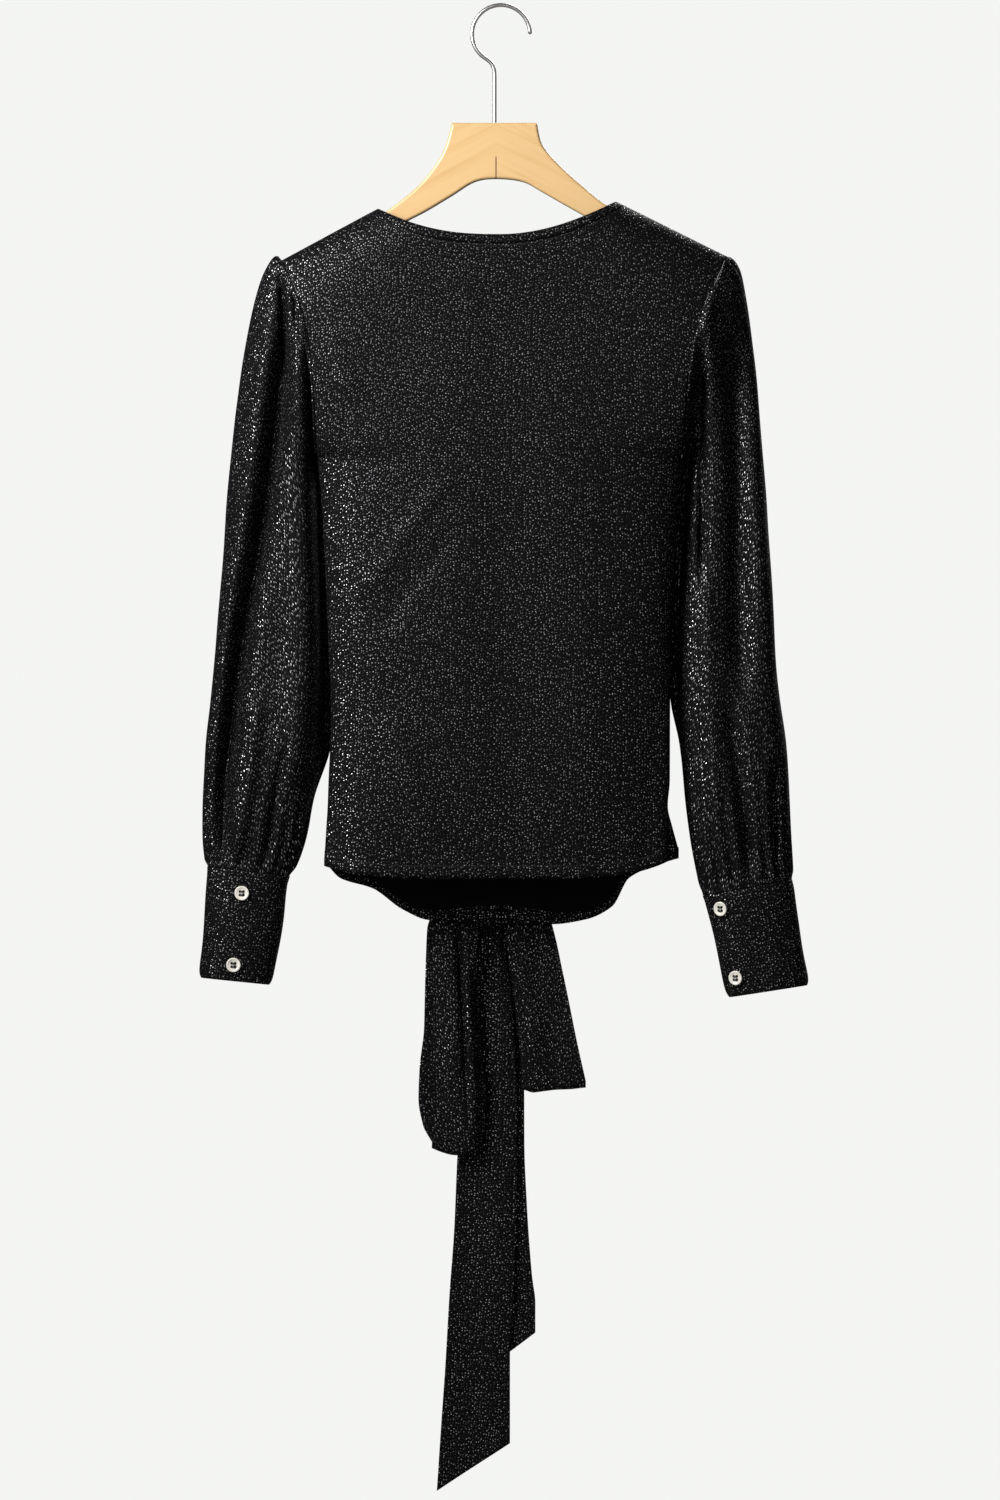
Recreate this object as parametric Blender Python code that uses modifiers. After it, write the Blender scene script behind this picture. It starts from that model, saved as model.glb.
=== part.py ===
"""A long-sleeved wrap blouse hung on a wooden hanger, seen from the blouse's back.

Metres, +Z up. The origin is the inner top of the hook, where a rail carries the hanger.
The blouse's back faces -Y and its front +Y, so the wearer's left is at -X.
"""

import math
from collections import namedtuple

import bmesh
import bpy
from mathutils import Vector

# Cloth and seams.
WALL = 0.0012
DOUBLE_WALL = 0.0016
SEAM = 0.0003

# The body as it hangs: a row for each section, down from the shoulder points.
# left and right are its side edges, back and front its depths from the hanger's plane.
BodyRow = namedtuple("BodyRow", "height left right back front")
BODY = [
    BodyRow(-0.2225, -0.1905, 0.1968, 0.030, 0.034),
    BodyRow(-0.2400, -0.1840, 0.1895, 0.031, 0.035),
    BodyRow(-0.2580, -0.1770, 0.1805, 0.031, 0.035),
    BodyRow(-0.2970, -0.1680, 0.1680, 0.032, 0.036),
    BodyRow(-0.3400, -0.1635, 0.1622, 0.033, 0.037),
    BodyRow(-0.3950, -0.1610, 0.1585, 0.033, 0.038),
    BodyRow(-0.4300, -0.1578, 0.1552, 0.033, 0.038),
    BodyRow(-0.4870, -0.1545, 0.1522, 0.032, 0.037),
    BodyRow(-0.5480, -0.1518, 0.1487, 0.031, 0.037),
    BodyRow(-0.6270, -0.1490, 0.1482, 0.030, 0.038),
    BodyRow(-0.6800, -0.1512, 0.1480, 0.031, 0.039),
    BodyRow(-0.7030, -0.1520, 0.1462, 0.031, 0.040),
    BodyRow(-0.7220, -0.1532, 0.1505, 0.032, 0.040),
    BodyRow(-0.7570, -0.1553, 0.1605, 0.033, 0.040),
]
SECTION_FULLNESS = 3.0
SIDE_FLAT = 0.003
SHOULDER_ROUND = 0.045

# Neck and shoulders. Each shoulder seam is straight, from its neck point to its armhole.
NECK_LEFT = Vector((-0.1082, 0.0, -0.1778))
NECK_RIGHT = Vector((0.1012, 0.0, -0.1716))
SLOPE_LEFT = 0.5395
SLOPE_RIGHT = 0.4969
NECK_LOW = -0.2020
NECK_BEND_LEFT = 2.6
NECK_BEND_RIGHT = 1.9
NECKBAND = 0.0070
NECKBAND_ON_SHOULDER = 0.0062
NECKBAND_TURN = 4
NECKBAND_STEPS = 22
NECKBAND_CROWDING = 1.5
NECK_SHARES = (-1.0, -0.995, -0.93, -0.80, -0.60, -0.35, 0.0, 0.35, 0.60, 0.80, 0.93, 0.995, 1.0)

# Armholes: ovals between the shoulder point and the underarm.
UNDERARM = -0.3950
ARMHOLE_HALF_DEPTH = 0.0260
UNDERARM_BLEND = 0.090
TURN_DEGREES = (0, 6, 12, 20, 32, 48, 64, 80, 96, 112, 128, 144, 160, 171, 180)
TURNS = [math.radians(degrees) for degrees in TURN_DEGREES]

# Hems.
BACK_HEM = -0.7667
BACK_HEM_RISE_LEFT = 0.0110
BACK_HEM_RISE_RIGHT = 0.0152
HEM_CORNER = 5
SIDE_ROWS = 7
HemRow = namedtuple("HemRow", "x height")
FRONT_HEM = [
    HemRow(-0.1553, -0.7515),
    HemRow(-0.1410, -0.7670),
    HemRow(-0.1130, -0.7760),
    HemRow(-0.0870, -0.7945),
    HemRow(-0.0640, -0.8040),
    HemRow(0.0000, -0.8070),
    HemRow(0.0450, -0.8078),
    HemRow(0.0750, -0.8035),
    HemRow(0.0980, -0.7920),
    HemRow(0.1126, -0.7670),
    HemRow(0.1350, -0.7560),
    HemRow(0.1605, -0.7480),
]

# The wrap: each front's edge runs from its neck point to the other side of the waist.
WRAP_END = 0.130
WRAP_BEND = 1.1
WRAP_TURN = 6
LAP = 0.0022
LAP_LEAD = 0.030
LAP_BLEND = 0.020

# The sash along the fronts' lower edge.
SASH_SIDE = 0.010
SASH_CENTRE = 0.019
SASH_SPREAD = 0.050

# Lines of the fronts, by where they meet the lower edge, from the side seam to the wrap.
SEAM_LINE = 0.008
LEFT_LINES = (-0.141, -0.127, -0.113, -0.087, -0.060, -0.020, 0.020, 0.060, 0.090, 0.110)
RIGHT_LINES = (0.141, 0.127, 0.1126, 0.1010, 0.0800, 0.0450, 0.0, -0.0400, -0.0760, -0.1020)
INNER_FRONT_SHORT = 0.0015

# Sleeves: a row for each section, from the armhole to the cuff. A section spans from its
# outer point to its inner point, and depth is its half size from back to front. The sleeve hangs
# a little to the front, and forward is how far its middle lies in front of the hanger's plane.
RingRow = namedtuple("RingRow", "run outer_x outer_z inner_x inner_z depth forward")
SLEEVE_LEFT = [
    RingRow(0.00, -0.1901, -0.2222, -0.1628, -0.3950, 0.0260, 0.0000),
    RingRow(0.04, -0.1972, -0.2204, -0.1637, -0.3990, 0.0262, 0.0000),
    RingRow(0.08, -0.2068, -0.2332, -0.1640, -0.4030, 0.0265, 0.0025),
    RingRow(0.13, -0.2156, -0.2578, -0.1618, -0.4080, 0.0270, 0.0055),
    RingRow(0.19, -0.2235, -0.2930, -0.1604, -0.4140, 0.0275, 0.0100),
    RingRow(0.25, -0.2297, -0.3282, -0.1585, -0.4210, 0.0280, 0.0156),
    RingRow(0.31, -0.2350, -0.3634, -0.1563, -0.4300, 0.0280, 0.0189),
    RingRow(0.38, -0.2389, -0.4030, -0.1548, -0.4440, 0.0280, 0.0200),
    RingRow(0.46, -0.2429, -0.4514, -0.1532, -0.4700, 0.0280, 0.0200),
    RingRow(0.54, -0.2460, -0.4998, -0.1513, -0.5080, 0.0280, 0.0200),
    RingRow(0.62, -0.2499, -0.5570, -0.1492, -0.5600, 0.0280, 0.0200),
    RingRow(0.70, -0.2556, -0.6098, -0.1474, -0.6100, 0.0290, 0.0200),
    RingRow(0.78, -0.2600, -0.6494, -0.1505, -0.6494, 0.0290, 0.0200),
    RingRow(0.86, -0.2622, -0.6978, -0.1660, -0.6978, 0.0280, 0.0200),
    RingRow(0.92, -0.2614, -0.7286, -0.1725, -0.7290, 0.0265, 0.0200),
    RingRow(0.97, -0.2596, -0.7480, -0.1810, -0.7540, 0.0240, 0.0200),
    RingRow(1.00, -0.2583, -0.7559, -0.1870, -0.7645, 0.0230, 0.0200),
]
SLEEVE_RIGHT = [
    RingRow(0.00, 0.1971, -0.2191, 0.1603, -0.3950, 0.0260, 0.0000),
    RingRow(0.04, 0.2030, -0.2228, 0.1608, -0.3990, 0.0262, 0.0000),
    RingRow(0.08, 0.2094, -0.2332, 0.1612, -0.4030, 0.0265, 0.0025),
    RingRow(0.13, 0.2147, -0.2578, 0.1592, -0.4080, 0.0270, 0.0055),
    RingRow(0.19, 0.2204, -0.2930, 0.1578, -0.4140, 0.0275, 0.0100),
    RingRow(0.25, 0.2253, -0.3282, 0.1558, -0.4210, 0.0280, 0.0156),
    RingRow(0.31, 0.2284, -0.3634, 0.1537, -0.4300, 0.0280, 0.0189),
    RingRow(0.38, 0.2314, -0.4030, 0.1523, -0.4440, 0.0280, 0.0200),
    RingRow(0.46, 0.2350, -0.4514, 0.1508, -0.4700, 0.0280, 0.0200),
    RingRow(0.54, 0.2385, -0.4998, 0.1490, -0.5080, 0.0280, 0.0200),
    RingRow(0.62, 0.2420, -0.5570, 0.1463, -0.5600, 0.0280, 0.0200),
    RingRow(0.70, 0.2468, -0.6098, 0.1472, -0.6100, 0.0290, 0.0200),
    RingRow(0.78, 0.2508, -0.6494, 0.1548, -0.6494, 0.0290, 0.0200),
    RingRow(0.86, 0.2534, -0.6978, 0.1610, -0.6978, 0.0280, 0.0200),
    RingRow(0.92, 0.2543, -0.7300, 0.1685, -0.7330, 0.0265, 0.0200),
    RingRow(0.97, 0.2554, -0.7560, 0.1750, -0.7660, 0.0240, 0.0200),
    RingRow(1.00, 0.2561, -0.7674, 0.1786, -0.7820, 0.0230, 0.0200),
]
SLEEVE_RUNS = (0.045, 0.08, 0.12, 0.17, 0.23, 0.30, 0.37, 0.45, 0.53, 0.61, 0.69, 0.77, 0.84, 0.90, 0.945)
SLEEVE_ROUNDNESS = 2.3
SEAM_STRIP = 0.0025
ARMHOLE_BLEND = 0.16

# Sleeve folds run lengthwise: a row for each trough. place is the turn about the sleeve in
# degrees, from its outer edge over the back, at the head and at the wrist.
FoldRow = namedtuple("FoldRow", "place_head place_wrist width sink first last")
FOLDS_LEFT = [
    FoldRow(95, 48, 15, 0.0060, 0.05, 0.92),
    FoldRow(140, 125, 13, 0.0040, 0.30, 0.99),
    FoldRow(215, 235, 15, 0.0045, 0.10, 0.90),
    FoldRow(290, 305, 14, 0.0045, 0.05, 0.85),
]
FOLDS_RIGHT = [
    FoldRow(62, 75, 15, 0.0045, 0.05, 0.80),
    FoldRow(128, 140, 13, 0.0050, 0.12, 0.99),
    FoldRow(220, 235, 15, 0.0045, 0.10, 0.90),
    FoldRow(295, 300, 14, 0.0045, 0.05, 0.85),
]
HEAD_GATHER = 0.0013
WRIST_GATHER = 0.0015
HEAD_RISES = (0.02, 0.07)
HEAD_FADES = (0.34, 0.09)
WRIST_RISES = (0.80, 0.92)
UNDERARM_FALL = math.radians(80)

# Cuffs, from the sleeve to the hand.
CUFF_LEFT = [
    RingRow(0.00, -0.2583, -0.7562, -0.1870, -0.7648, 0.0230, 0.0200),
    RingRow(0.34, -0.2605, -0.7911, -0.1910, -0.7930, 0.0232, 0.0200),
    RingRow(0.67, -0.2631, -0.8228, -0.1962, -0.8250, 0.0230, 0.0200),
    RingRow(1.00, -0.2662, -0.8540, -0.2024, -0.8606, 0.0225, 0.0200),
]
CUFF_RIGHT = [
    RingRow(0.00, 0.2561, -0.7677, 0.1786, -0.7823, 0.0230, 0.0200),
    RingRow(0.34, 0.2600, -0.7950, 0.1850, -0.8050, 0.0232, 0.0200),
    RingRow(0.67, 0.2655, -0.8270, 0.1920, -0.8370, 0.0230, 0.0200),
    RingRow(1.00, 0.2715, -0.8606, 0.2002, -0.8716, 0.0225, 0.0200),
]
CUFF_SIDES = 24
CUFF_RINGS = 4

# Buttons: where each shows on its cuff.
BUTTON_RADIUS = 0.0063
BUTTON_THICK = 0.0026
BUTTON_RIM = 0.0014
BUTTON_DISH = 0.0007
HOLE_RADIUS = 0.0008
HOLE_SPREAD = 0.0015
BUTTON_STEPS = 16
HOLE_SIDES = 5
ButtonRow = namedtuple("ButtonRow", "name cuff run turn")
BUTTONS = [
    ButtonRow("button_left_upper", "left", 0.21, 86),
    ButtonRow("button_left_lower", "left", 0.86, 86),
    ButtonRow("button_right_upper", "right", 0.20, 130),
    ButtonRow("button_right_lower", "right", 0.85, 130),
]

# The bow: strips whose sections run from an outer edge to an inner one, down from the knot.
KNOT_CENTRE = Vector((-0.0100, 0.0525, -0.7915))
KNOT_HALF = Vector((0.0170, 0.0118, 0.0155))
KNOT_SQUARENESS = 0.7
KNOT_WAVES = 6
KNOT_CREASE = 0.05
StripRow = namedtuple("StripRow", "outer_x outer_z inner_x inner_z near far")
LOOP_LEFT = [
    StripRow(-0.0268, -0.7840, -0.0268, -0.8000, 0.0500, 0.0556),
    StripRow(-0.0440, -0.7862, -0.0248, -0.8045, 0.0490, 0.0562),
    StripRow(-0.0590, -0.7960, -0.0226, -0.8075, 0.0475, 0.0565),
    StripRow(-0.0652, -0.8130, -0.0216, -0.8130, 0.0462, 0.0562),
    StripRow(-0.0669, -0.8560, -0.0207, -0.8560, 0.0455, 0.0562),
    StripRow(-0.0680, -0.9000, -0.0185, -0.9000, 0.0452, 0.0562),
    StripRow(-0.0720, -0.9350, -0.0158, -0.9350, 0.0452, 0.0562),
    StripRow(-0.0730, -0.9620, -0.0132, -0.9620, 0.0452, 0.0562),
    StripRow(-0.0690, -0.9860, -0.0150, -0.9920, 0.0458, 0.0556),
    StripRow(-0.0610, -1.0010, -0.0170, -1.0040, 0.0464, 0.0550),
]
LOOP_RIGHT = [
    StripRow(0.0068, -0.7840, 0.0068, -0.8000, 0.0500, 0.0556),
    StripRow(0.0240, -0.7862, 0.0060, -0.8045, 0.0490, 0.0562),
    StripRow(0.0395, -0.7960, 0.0042, -0.8075, 0.0475, 0.0565),
    StripRow(0.0462, -0.8130, 0.0036, -0.8130, 0.0462, 0.0562),
    StripRow(0.0554, -0.8545, 0.0088, -0.8545, 0.0455, 0.0562),
    StripRow(0.0669, -0.9110, 0.0165, -0.9120, 0.0455, 0.0560),
    StripRow(0.0750, -0.9470, 0.0185, -0.9520, 0.0460, 0.0556),
]
TAIL_LONG = [
    StripRow(-0.0208, -0.8067, 0.0005, -0.8067, 0.0522, 0.0522),
    StripRow(-0.0210, -0.8250, 0.0030, -0.8250, 0.0585, 0.0585),
    StripRow(-0.0270, -0.8756, 0.0097, -0.8756, 0.0605, 0.0605),
    StripRow(-0.0343, -0.9548, 0.0141, -0.9548, 0.0605, 0.0605),
    StripRow(-0.0387, -1.0155, 0.0145, -1.0155, 0.0600, 0.0600),
    StripRow(-0.0414, -1.0780, 0.0137, -1.0780, 0.0590, 0.0590),
    StripRow(-0.0458, -1.1387, 0.0114, -1.1387, 0.0580, 0.0580),
    StripRow(-0.0493, -1.1994, 0.0079, -1.1900, 0.0575, 0.0575),
    StripRow(-0.0528, -1.2496, 0.0079, -1.2300, 0.0570, 0.0570),
    StripRow(-0.0568, -1.3103, 0.0079, -1.2681, 0.0565, 0.0565),
]
TAIL_SHORT = [
    StripRow(-0.0190, -0.8068, -0.0010, -0.8068, 0.0560, 0.0560),
    StripRow(-0.0200, -0.8250, 0.0020, -0.8250, 0.0625, 0.0625),
    StripRow(-0.0250, -0.8756, 0.0085, -0.8756, 0.0645, 0.0645),
    StripRow(-0.0310, -0.9548, 0.0141, -0.9548, 0.0650, 0.0650),
    StripRow(-0.0310, -1.0000, 0.0188, -1.0000, 0.0645, 0.0645),
    StripRow(-0.0305, -1.0578, 0.0229, -1.0578, 0.0635, 0.0635),
    StripRow(-0.0300, -1.1185, 0.0273, -1.1185, 0.0630, 0.0630),
    StripRow(-0.0300, -1.1700, 0.0304, -1.1450, 0.0625, 0.0625),
    StripRow(-0.0300, -1.2160, 0.0304, -1.1704, 0.0620, 0.0620),
]
STRIP_COLUMNS = 6
FOLD_STEPS = 4
LOOP_SAG = 0.0050
SAG_STARTS = 0.6
RIPPLE = 0.0011

# Hanger: the wood's upper and lower outline as a row for each place along it, and the hook.
WOOD_THICK = 0.012
WOOD_EDGE = 0.0025
WOOD_CLEAR = 0.0019
HANGER_MIDDLE = -0.0057
WoodRow = namedtuple("WoodRow", "x height")
WOOD_TOP = [
    WoodRow(-0.1003, -0.1795),
    WoodRow(-0.0766, -0.1610),
    WoodRow(-0.0616, -0.1443),
    WoodRow(-0.0502, -0.1258),
    WoodRow(-0.0431, -0.1021),
    WoodRow(0.0317, -0.1021),
    WoodRow(0.0361, -0.1206),
    WoodRow(0.0493, -0.1373),
    WoodRow(0.0695, -0.1558),
    WoodRow(0.0915, -0.1734),
]
WOOD_BOTTOM = [
    WoodRow(0.1050, -0.2020),
    WoodRow(0.0748, -0.1848),
    WoodRow(0.0546, -0.1734),
    WoodRow(0.0361, -0.1628),
    WoodRow(0.0194, -0.1540),
    WoodRow(-0.0035, -0.1513),
    WoodRow(-0.0229, -0.1540),
    WoodRow(-0.0431, -0.1663),
    WoodRow(-0.0651, -0.1795),
    WoodRow(-0.0836, -0.1892),
    WoodRow(-0.1100, -0.2045),
]
BOARD_TOP = max(row.height for row in WOOD_TOP)
ARM_REST = 0.135
ARM_END_LEFT = -0.1790
ARM_END_RIGHT = 0.1850
ARM_END_THICK = 0.014
ARM_TIP = 0.45
ARM_TIP_TOP = 0.004
ARM_TIP_BOTTOM = 0.005
ARM_BELLY = 0.001
ARM_DIP = 0.0012
WIRE = 0.00175
HOOK_RADIUS = 0.0255
HOOK_TIP_ANGLE = 3
HOOK_TURN_ANGLE = 238
HOOK_STEM_TOP = -0.0640
HOOK_STEP = 13
HOOK_BEND = 0.45
BEND_STEPS = 5
WIRE_IN_WOOD = 0.018

# Finishes: colour, roughness and metallic value.
Finish = namedtuple("Finish", "name colour roughness metallic")
KNIT = Finish("glitter_knit", (0.010, 0.010, 0.011), 0.62, 0.0)
PEARL = Finish("pearl_button", (0.80, 0.76, 0.68), 0.25, 0.0)
WOOD = Finish("honey_wood", (0.86, 0.56, 0.27), 0.42, 0.0)
STEEL = Finish("satin_steel", (0.72, 0.71, 0.68), 0.30, 1.0)


def smooth_step(share):
    share = min(1.0, max(0.0, share))
    return share * share * (3.0 - 2.0 * share)


def ramp(value, start, full):
    """0 at start, 1 at full and beyond, and smooth between them."""
    return smooth_step((value - start) / (full - start))


def mix(start, end, share):
    return start + (end - start) * share


def read(rows, key, column, at):
    """A column of a table at any place between its rows, on a smooth line with no overshoot."""
    table = sorted((getattr(row, key), getattr(row, column)) for row in rows)
    at = min(max(at, table[0][0]), table[-1][0])
    after = next(i for i in range(1, len(table)) if at <= table[i][0])

    def step(i):
        return (table[i + 1][1] - table[i][1]) / (table[i + 1][0] - table[i][0])

    def slope(i):
        if i in (0, len(table) - 1):
            return step(min(i, len(table) - 2))
        before, behind = step(i - 1), step(i)
        return 2 * before * behind / (before + behind) if before * behind > 0 else 0.0

    (k0, v0), (k1, v1) = table[after - 1], table[after]
    width = k1 - k0
    t = (at - k0) / width
    rise = v0 * (1 + 2 * t) * (1 - t) ** 2 + v1 * t * t * (3 - 2 * t)
    return rise + width * t * (1 - t) * (slope(after - 1) * (1 - t) - slope(after) * t)


# Body surface.


def sides(height):
    return read(BODY, "height", "left", height), read(BODY, "height", "right", height)


def shoulder_line(x):
    """Height of the shoulder seam, carried on straight over the neck."""
    if x < 0:
        return NECK_LEFT.z + SLOPE_LEFT * (x - NECK_LEFT.x)
    return NECK_RIGHT.z - SLOPE_RIGHT * (x - NECK_RIGHT.x)


def armhole_top(side):
    return shoulder_line(BODY[0].left if side < 0 else BODY[0].right)


def armhole(side, turn):
    """A point on an armhole. turn runs from the shoulder over the back to the underarm."""
    top = armhole_top(side)
    height = mix(UNDERARM, top, (1 + math.cos(turn)) / 2)
    x = sides(height)[0 if side < 0 else 1]
    return Vector((x, -ARMHOLE_HALF_DEPTH * math.sin(turn), height))


def armhole_gape(top, height):
    """Half the width of an armhole that starts at top, and nothing below the underarm."""
    along = 2 * (height - UNDERARM) / (top - UNDERARM) - 1
    return ARMHOLE_HALF_DEPTH * math.sqrt(max(0.0, 1 - along * along))


def below_underarm(height):
    return smooth_step((UNDERARM + UNDERARM_BLEND - height) / UNDERARM_BLEND)


def panel_point(x, height, face, under=0.0):
    """A point on the back (face -1) or the front (face +1) at a place in the front view."""
    left, right = sides(height)
    across = (x - (left + right) / 2) / ((right - left) / 2)
    across = min(1.0, max(-1.0, across))
    depth = read(BODY, "height", "back" if face < 0 else "front", height)
    top = shoulder_line(mix(BODY[0].left, BODY[0].right, (across + 1) / 2))
    fall = min(1.0, max(0.0, (top - height) / SHOULDER_ROUND))
    depth *= math.sqrt(1 - (1 - fall) ** 2)
    share = below_underarm(height)
    edge = armhole_gape(top, height) + SIDE_FLAT * share
    swell = (1 - abs(across) ** SECTION_FULLNESS) ** mix(1.0, 0.5, share)
    return Vector((x, face * (SEAM / 2 + edge + (depth - edge) * swell - under), height))


def side_heights(side, end):
    """Heights of the rows down a side: round the armhole, then down the side seam."""
    down = [armhole(side, turn).z for turn in TURNS]
    return down + [mix(UNDERARM, end, row / SIDE_ROWS) for row in range(1, SIDE_ROWS + 1)]


def side_point(side, row, height, face):
    """A point on a panel's own edge, at the armhole or the side seam."""
    x = sides(height)[0 if side < 0 else 1]
    gape = ARMHOLE_HALF_DEPTH * math.sin(TURNS[row]) if row < len(TURNS) else 0.0
    return Vector((x, face * (SEAM / 2 + gape), height))


# Meshes.


def finish_material(finish):
    material = bpy.data.materials.get(finish.name) or bpy.data.materials.new(finish.name)
    material.use_nodes = True
    shader = material.node_tree.nodes["Principled BSDF"]
    shader.inputs["Base Color"].default_value = (*finish.colour, 1.0)
    shader.inputs["Roughness"].default_value = finish.roughness
    shader.inputs["Metallic"].default_value = finish.metallic
    return material


def add_object(name, data, finish):
    made = bpy.data.objects.new(name, data)
    blouse.objects.link(made)
    data.materials.append(finish_material(finish))
    return made


def cloth(name, rows, wall=WALL, closed=False):
    """A cloth piece: a surface lofted through rows of points, given its wall."""
    mesh = bmesh.new()
    lines = [[mesh.verts.new(point) for point in row] for row in rows]
    for upper, lower in zip(lines, lines[1:]):
        count = len(upper)
        for i in range(count if closed else count - 1):
            j = (i + 1) % count
            mesh.faces.new((upper[i], lower[i], lower[j], upper[j]))
    data = bpy.data.meshes.new(name)
    mesh.to_mesh(data)
    mesh.free()
    data.shade_smooth()
    piece = add_object(name, data, KNIT)
    thick = piece.modifiers.new("wall", "SOLIDIFY")
    thick.thickness = wall
    thick.offset = 0.0
    return piece


# Back, with the neck edge that its band is sewn to.


def neck_point(share, width):
    """The back neck edge in the front view. share runs from -1 to 1, width across the band."""
    point, bend = (NECK_LEFT, NECK_BEND_LEFT) if share < 0 else (NECK_RIGHT, NECK_BEND_RIGHT)
    slope = SLOPE_LEFT if share < 0 else SLOPE_RIGHT
    reach = abs(share)
    x = reach * (point.x + math.copysign(NECKBAND_ON_SHOULDER * width, point.x))
    height = NECK_LOW + (point.z - NECK_LOW) * reach**bend
    return x, height - width * mix(NECKBAND, NECKBAND_ON_SHOULDER * slope, reach**NECKBAND_TURN)


def back_columns():
    """Places across the back, closer together at the sides, with one at each neck corner."""
    middle = (BODY[0].left + BODY[0].right) / 2
    half = (BODY[0].right - BODY[0].left) / 2
    below = 1 + SEAM / NECKBAND
    shoulder = (1.0, 0.985, 0.94, 0.86, 0.75)
    neck = [(neck_point(share, below)[0] - middle) / half for share in NECK_SHARES]
    return [-place for place in shoulder] + neck + list(reversed(shoulder))


def back_top(across):
    x = mix(BODY[0].left, BODY[0].right, (across + 1) / 2)
    below = 1 + SEAM / NECKBAND
    corner = abs(neck_point(-1 if x < 0 else 1, below)[0])
    if abs(x) >= corner - 1e-6:
        return shoulder_line(x)
    return neck_point(x / corner, below)[1]


def back_end(across):
    rise = BACK_HEM_RISE_LEFT if across < 0 else BACK_HEM_RISE_RIGHT
    return BACK_HEM + rise * abs(across) ** HEM_CORNER


def make_back():
    downs = {side: side_heights(side, back_end(side)) for side in (-1, 1)}
    columns = back_columns()
    rows = []
    for row in range(len(downs[1])):
        points = []
        for across in columns:
            share = (across + 1) / 2
            passed = [(down[row] - down[0]) / (down[-1] - down[0]) for down in downs.values()]
            height = mix(back_top(across), back_end(across), mix(*passed, share))
            side = math.copysign(1, across)
            if abs(across) == 1:
                points.append(side_point(side, row, height, -1))
                continue
            if across in (columns[1], columns[-2]):
                across = mix(across, side, below_underarm(height))
            left, right = sides(height)
            points.append(panel_point(mix(left, right, (across + 1) / 2), height, -1))
        rows.append(points)
    cloth("back", rows)


def make_neckband_back():
    rows = []
    for width in (0.0, 1.0):
        rows.append([panel_point(*neck_point(share, width), -1) for share in NECK_SHARES])
    cloth("neckband_back", rows)


# Fronts. Each runs from its side seam to its wrap edge; the right one lies outermost.


def front_hem(x):
    return read(FRONT_HEM, "x", "height", x)


def sash_height(x):
    return SASH_SIDE + (SASH_CENTRE - SASH_SIDE) * math.exp(-((x / SASH_SPREAD) ** 2))


def front_end(x):
    return front_hem(x) + sash_height(x) + SEAM


def wrap_point(side, passed, width):
    """The wrap edge in the front view. width runs across its band, toward the panel."""
    neck = NECK_LEFT if side < 0 else NECK_RIGHT
    slope = SLOPE_LEFT if side < 0 else SLOPE_RIGHT
    far = -side * WRAP_END
    x = mix(neck.x, far, passed**WRAP_BEND) + side * width * mix(NECKBAND_ON_SHOULDER, NECKBAND, passed)
    height = mix(neck.z, front_end(far), passed)
    return x, height - width * NECKBAND_ON_SHOULDER * slope * (1 - passed) ** WRAP_TURN


def under_lap(side, x, height):
    """How far the left front dives where the right one covers it."""
    if side > 0:
        return 0.0
    passed = (height - NECK_RIGHT.z) / (front_end(-WRAP_END) - NECK_RIGHT.z)
    edge = wrap_point(1, min(1.0, max(0.0, passed)), 0.0)[0]
    return LAP * smooth_step((x - edge + LAP_LEAD) / LAP_BLEND)


def front_point(side, x, height):
    return panel_point(x, height, 1, under_lap(side, x, height))


def front_side(side):
    """Where a front meets its sash at the side seam."""
    return (FRONT_HEM[0] if side < 0 else FRONT_HEM[-1]).x


def make_front(side, name, lines):
    low_side = front_side(side)
    side_end = front_end(low_side)
    below = 1 + SEAM / NECKBAND
    low_edge = wrap_point(side, 1.0, below)[0]
    places = (low_side, low_side - side * SEAM_LINE, *lines, low_edge)
    shares = [(low_side - place) / (low_side - low_edge) for place in places]
    heights = side_heights(side, side_end)
    short = INNER_FRONT_SHORT if side < 0 else 0.0
    rows = []
    for row, height in enumerate(heights):
        passed = (height - heights[0]) / (heights[-1] - heights[0])
        seam = side_point(side, row, height, 1)
        edge_x, edge_z = wrap_point(side, passed, below)
        points = [seam]
        for column, share in enumerate(shares[1:], start=1):
            straight = column == 1
            x = mix(seam.x, edge_x, share)
            z = mix(seam.z, edge_z, share)
            if straight:
                x = mix(x, seam.x, below_underarm(height))
                z = mix(z, seam.z, below_underarm(height))
            if row == len(heights) - 1 and not straight:
                x = places[column]
            flat_end = mix(side_end, wrap_point(side, 1.0, below)[1], share)
            low = front_end(x) + short * smooth_step(passed)
            z += passed**3 * (low - flat_end) * (0.0 if straight else 1.0)
            points.append(front_point(side, x, z))
        rows.append(points)
    cloth(name, rows)


def make_neckband_front(side, name):
    rows = []
    for step in range(NECKBAND_STEPS + 1):
        passed = (step / NECKBAND_STEPS) ** NECKBAND_CROWDING
        places = [wrap_point(side, passed, width) for width in (0.0, 0.5, 1.0)]
        rows.append([front_point(side, x, height) for x, height in places])
    cloth(name, rows)


def make_sash(side, name):
    """Half of the doubled band under the fronts, from its side seam to the middle."""
    low_side = sides(front_end(front_side(side)))[0 if side < 0 else 1]
    wrap = (-WRAP_END, wrap_point(1, 1.0, 1.0)[0])
    lines = LEFT_LINES + RIGHT_LINES + wrap if side < 0 else RIGHT_LINES
    lines = [x for x in lines if x < -WRAP_END or x in wrap or x in RIGHT_LINES]
    lines = sorted({abs(x) for x in lines if x * side > 0}, reverse=True)
    places = [side * x for x in lines] + [side * SEAM / 2]
    rows = []
    for share in (1.0, 0.0):
        height = front_hem(low_side) + sash_height(low_side) * share
        points = [Vector((low_side, SEAM / 2 + flat, height)) for flat in (0.0, SIDE_FLAT)]
        for x in places:
            height = front_hem(x) + sash_height(x) * share
            points.append(panel_point(x, height, 1))
        rows.append(points)
    cloth(name, rows, DOUBLE_WALL)


# Sleeves and cuffs.


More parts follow.
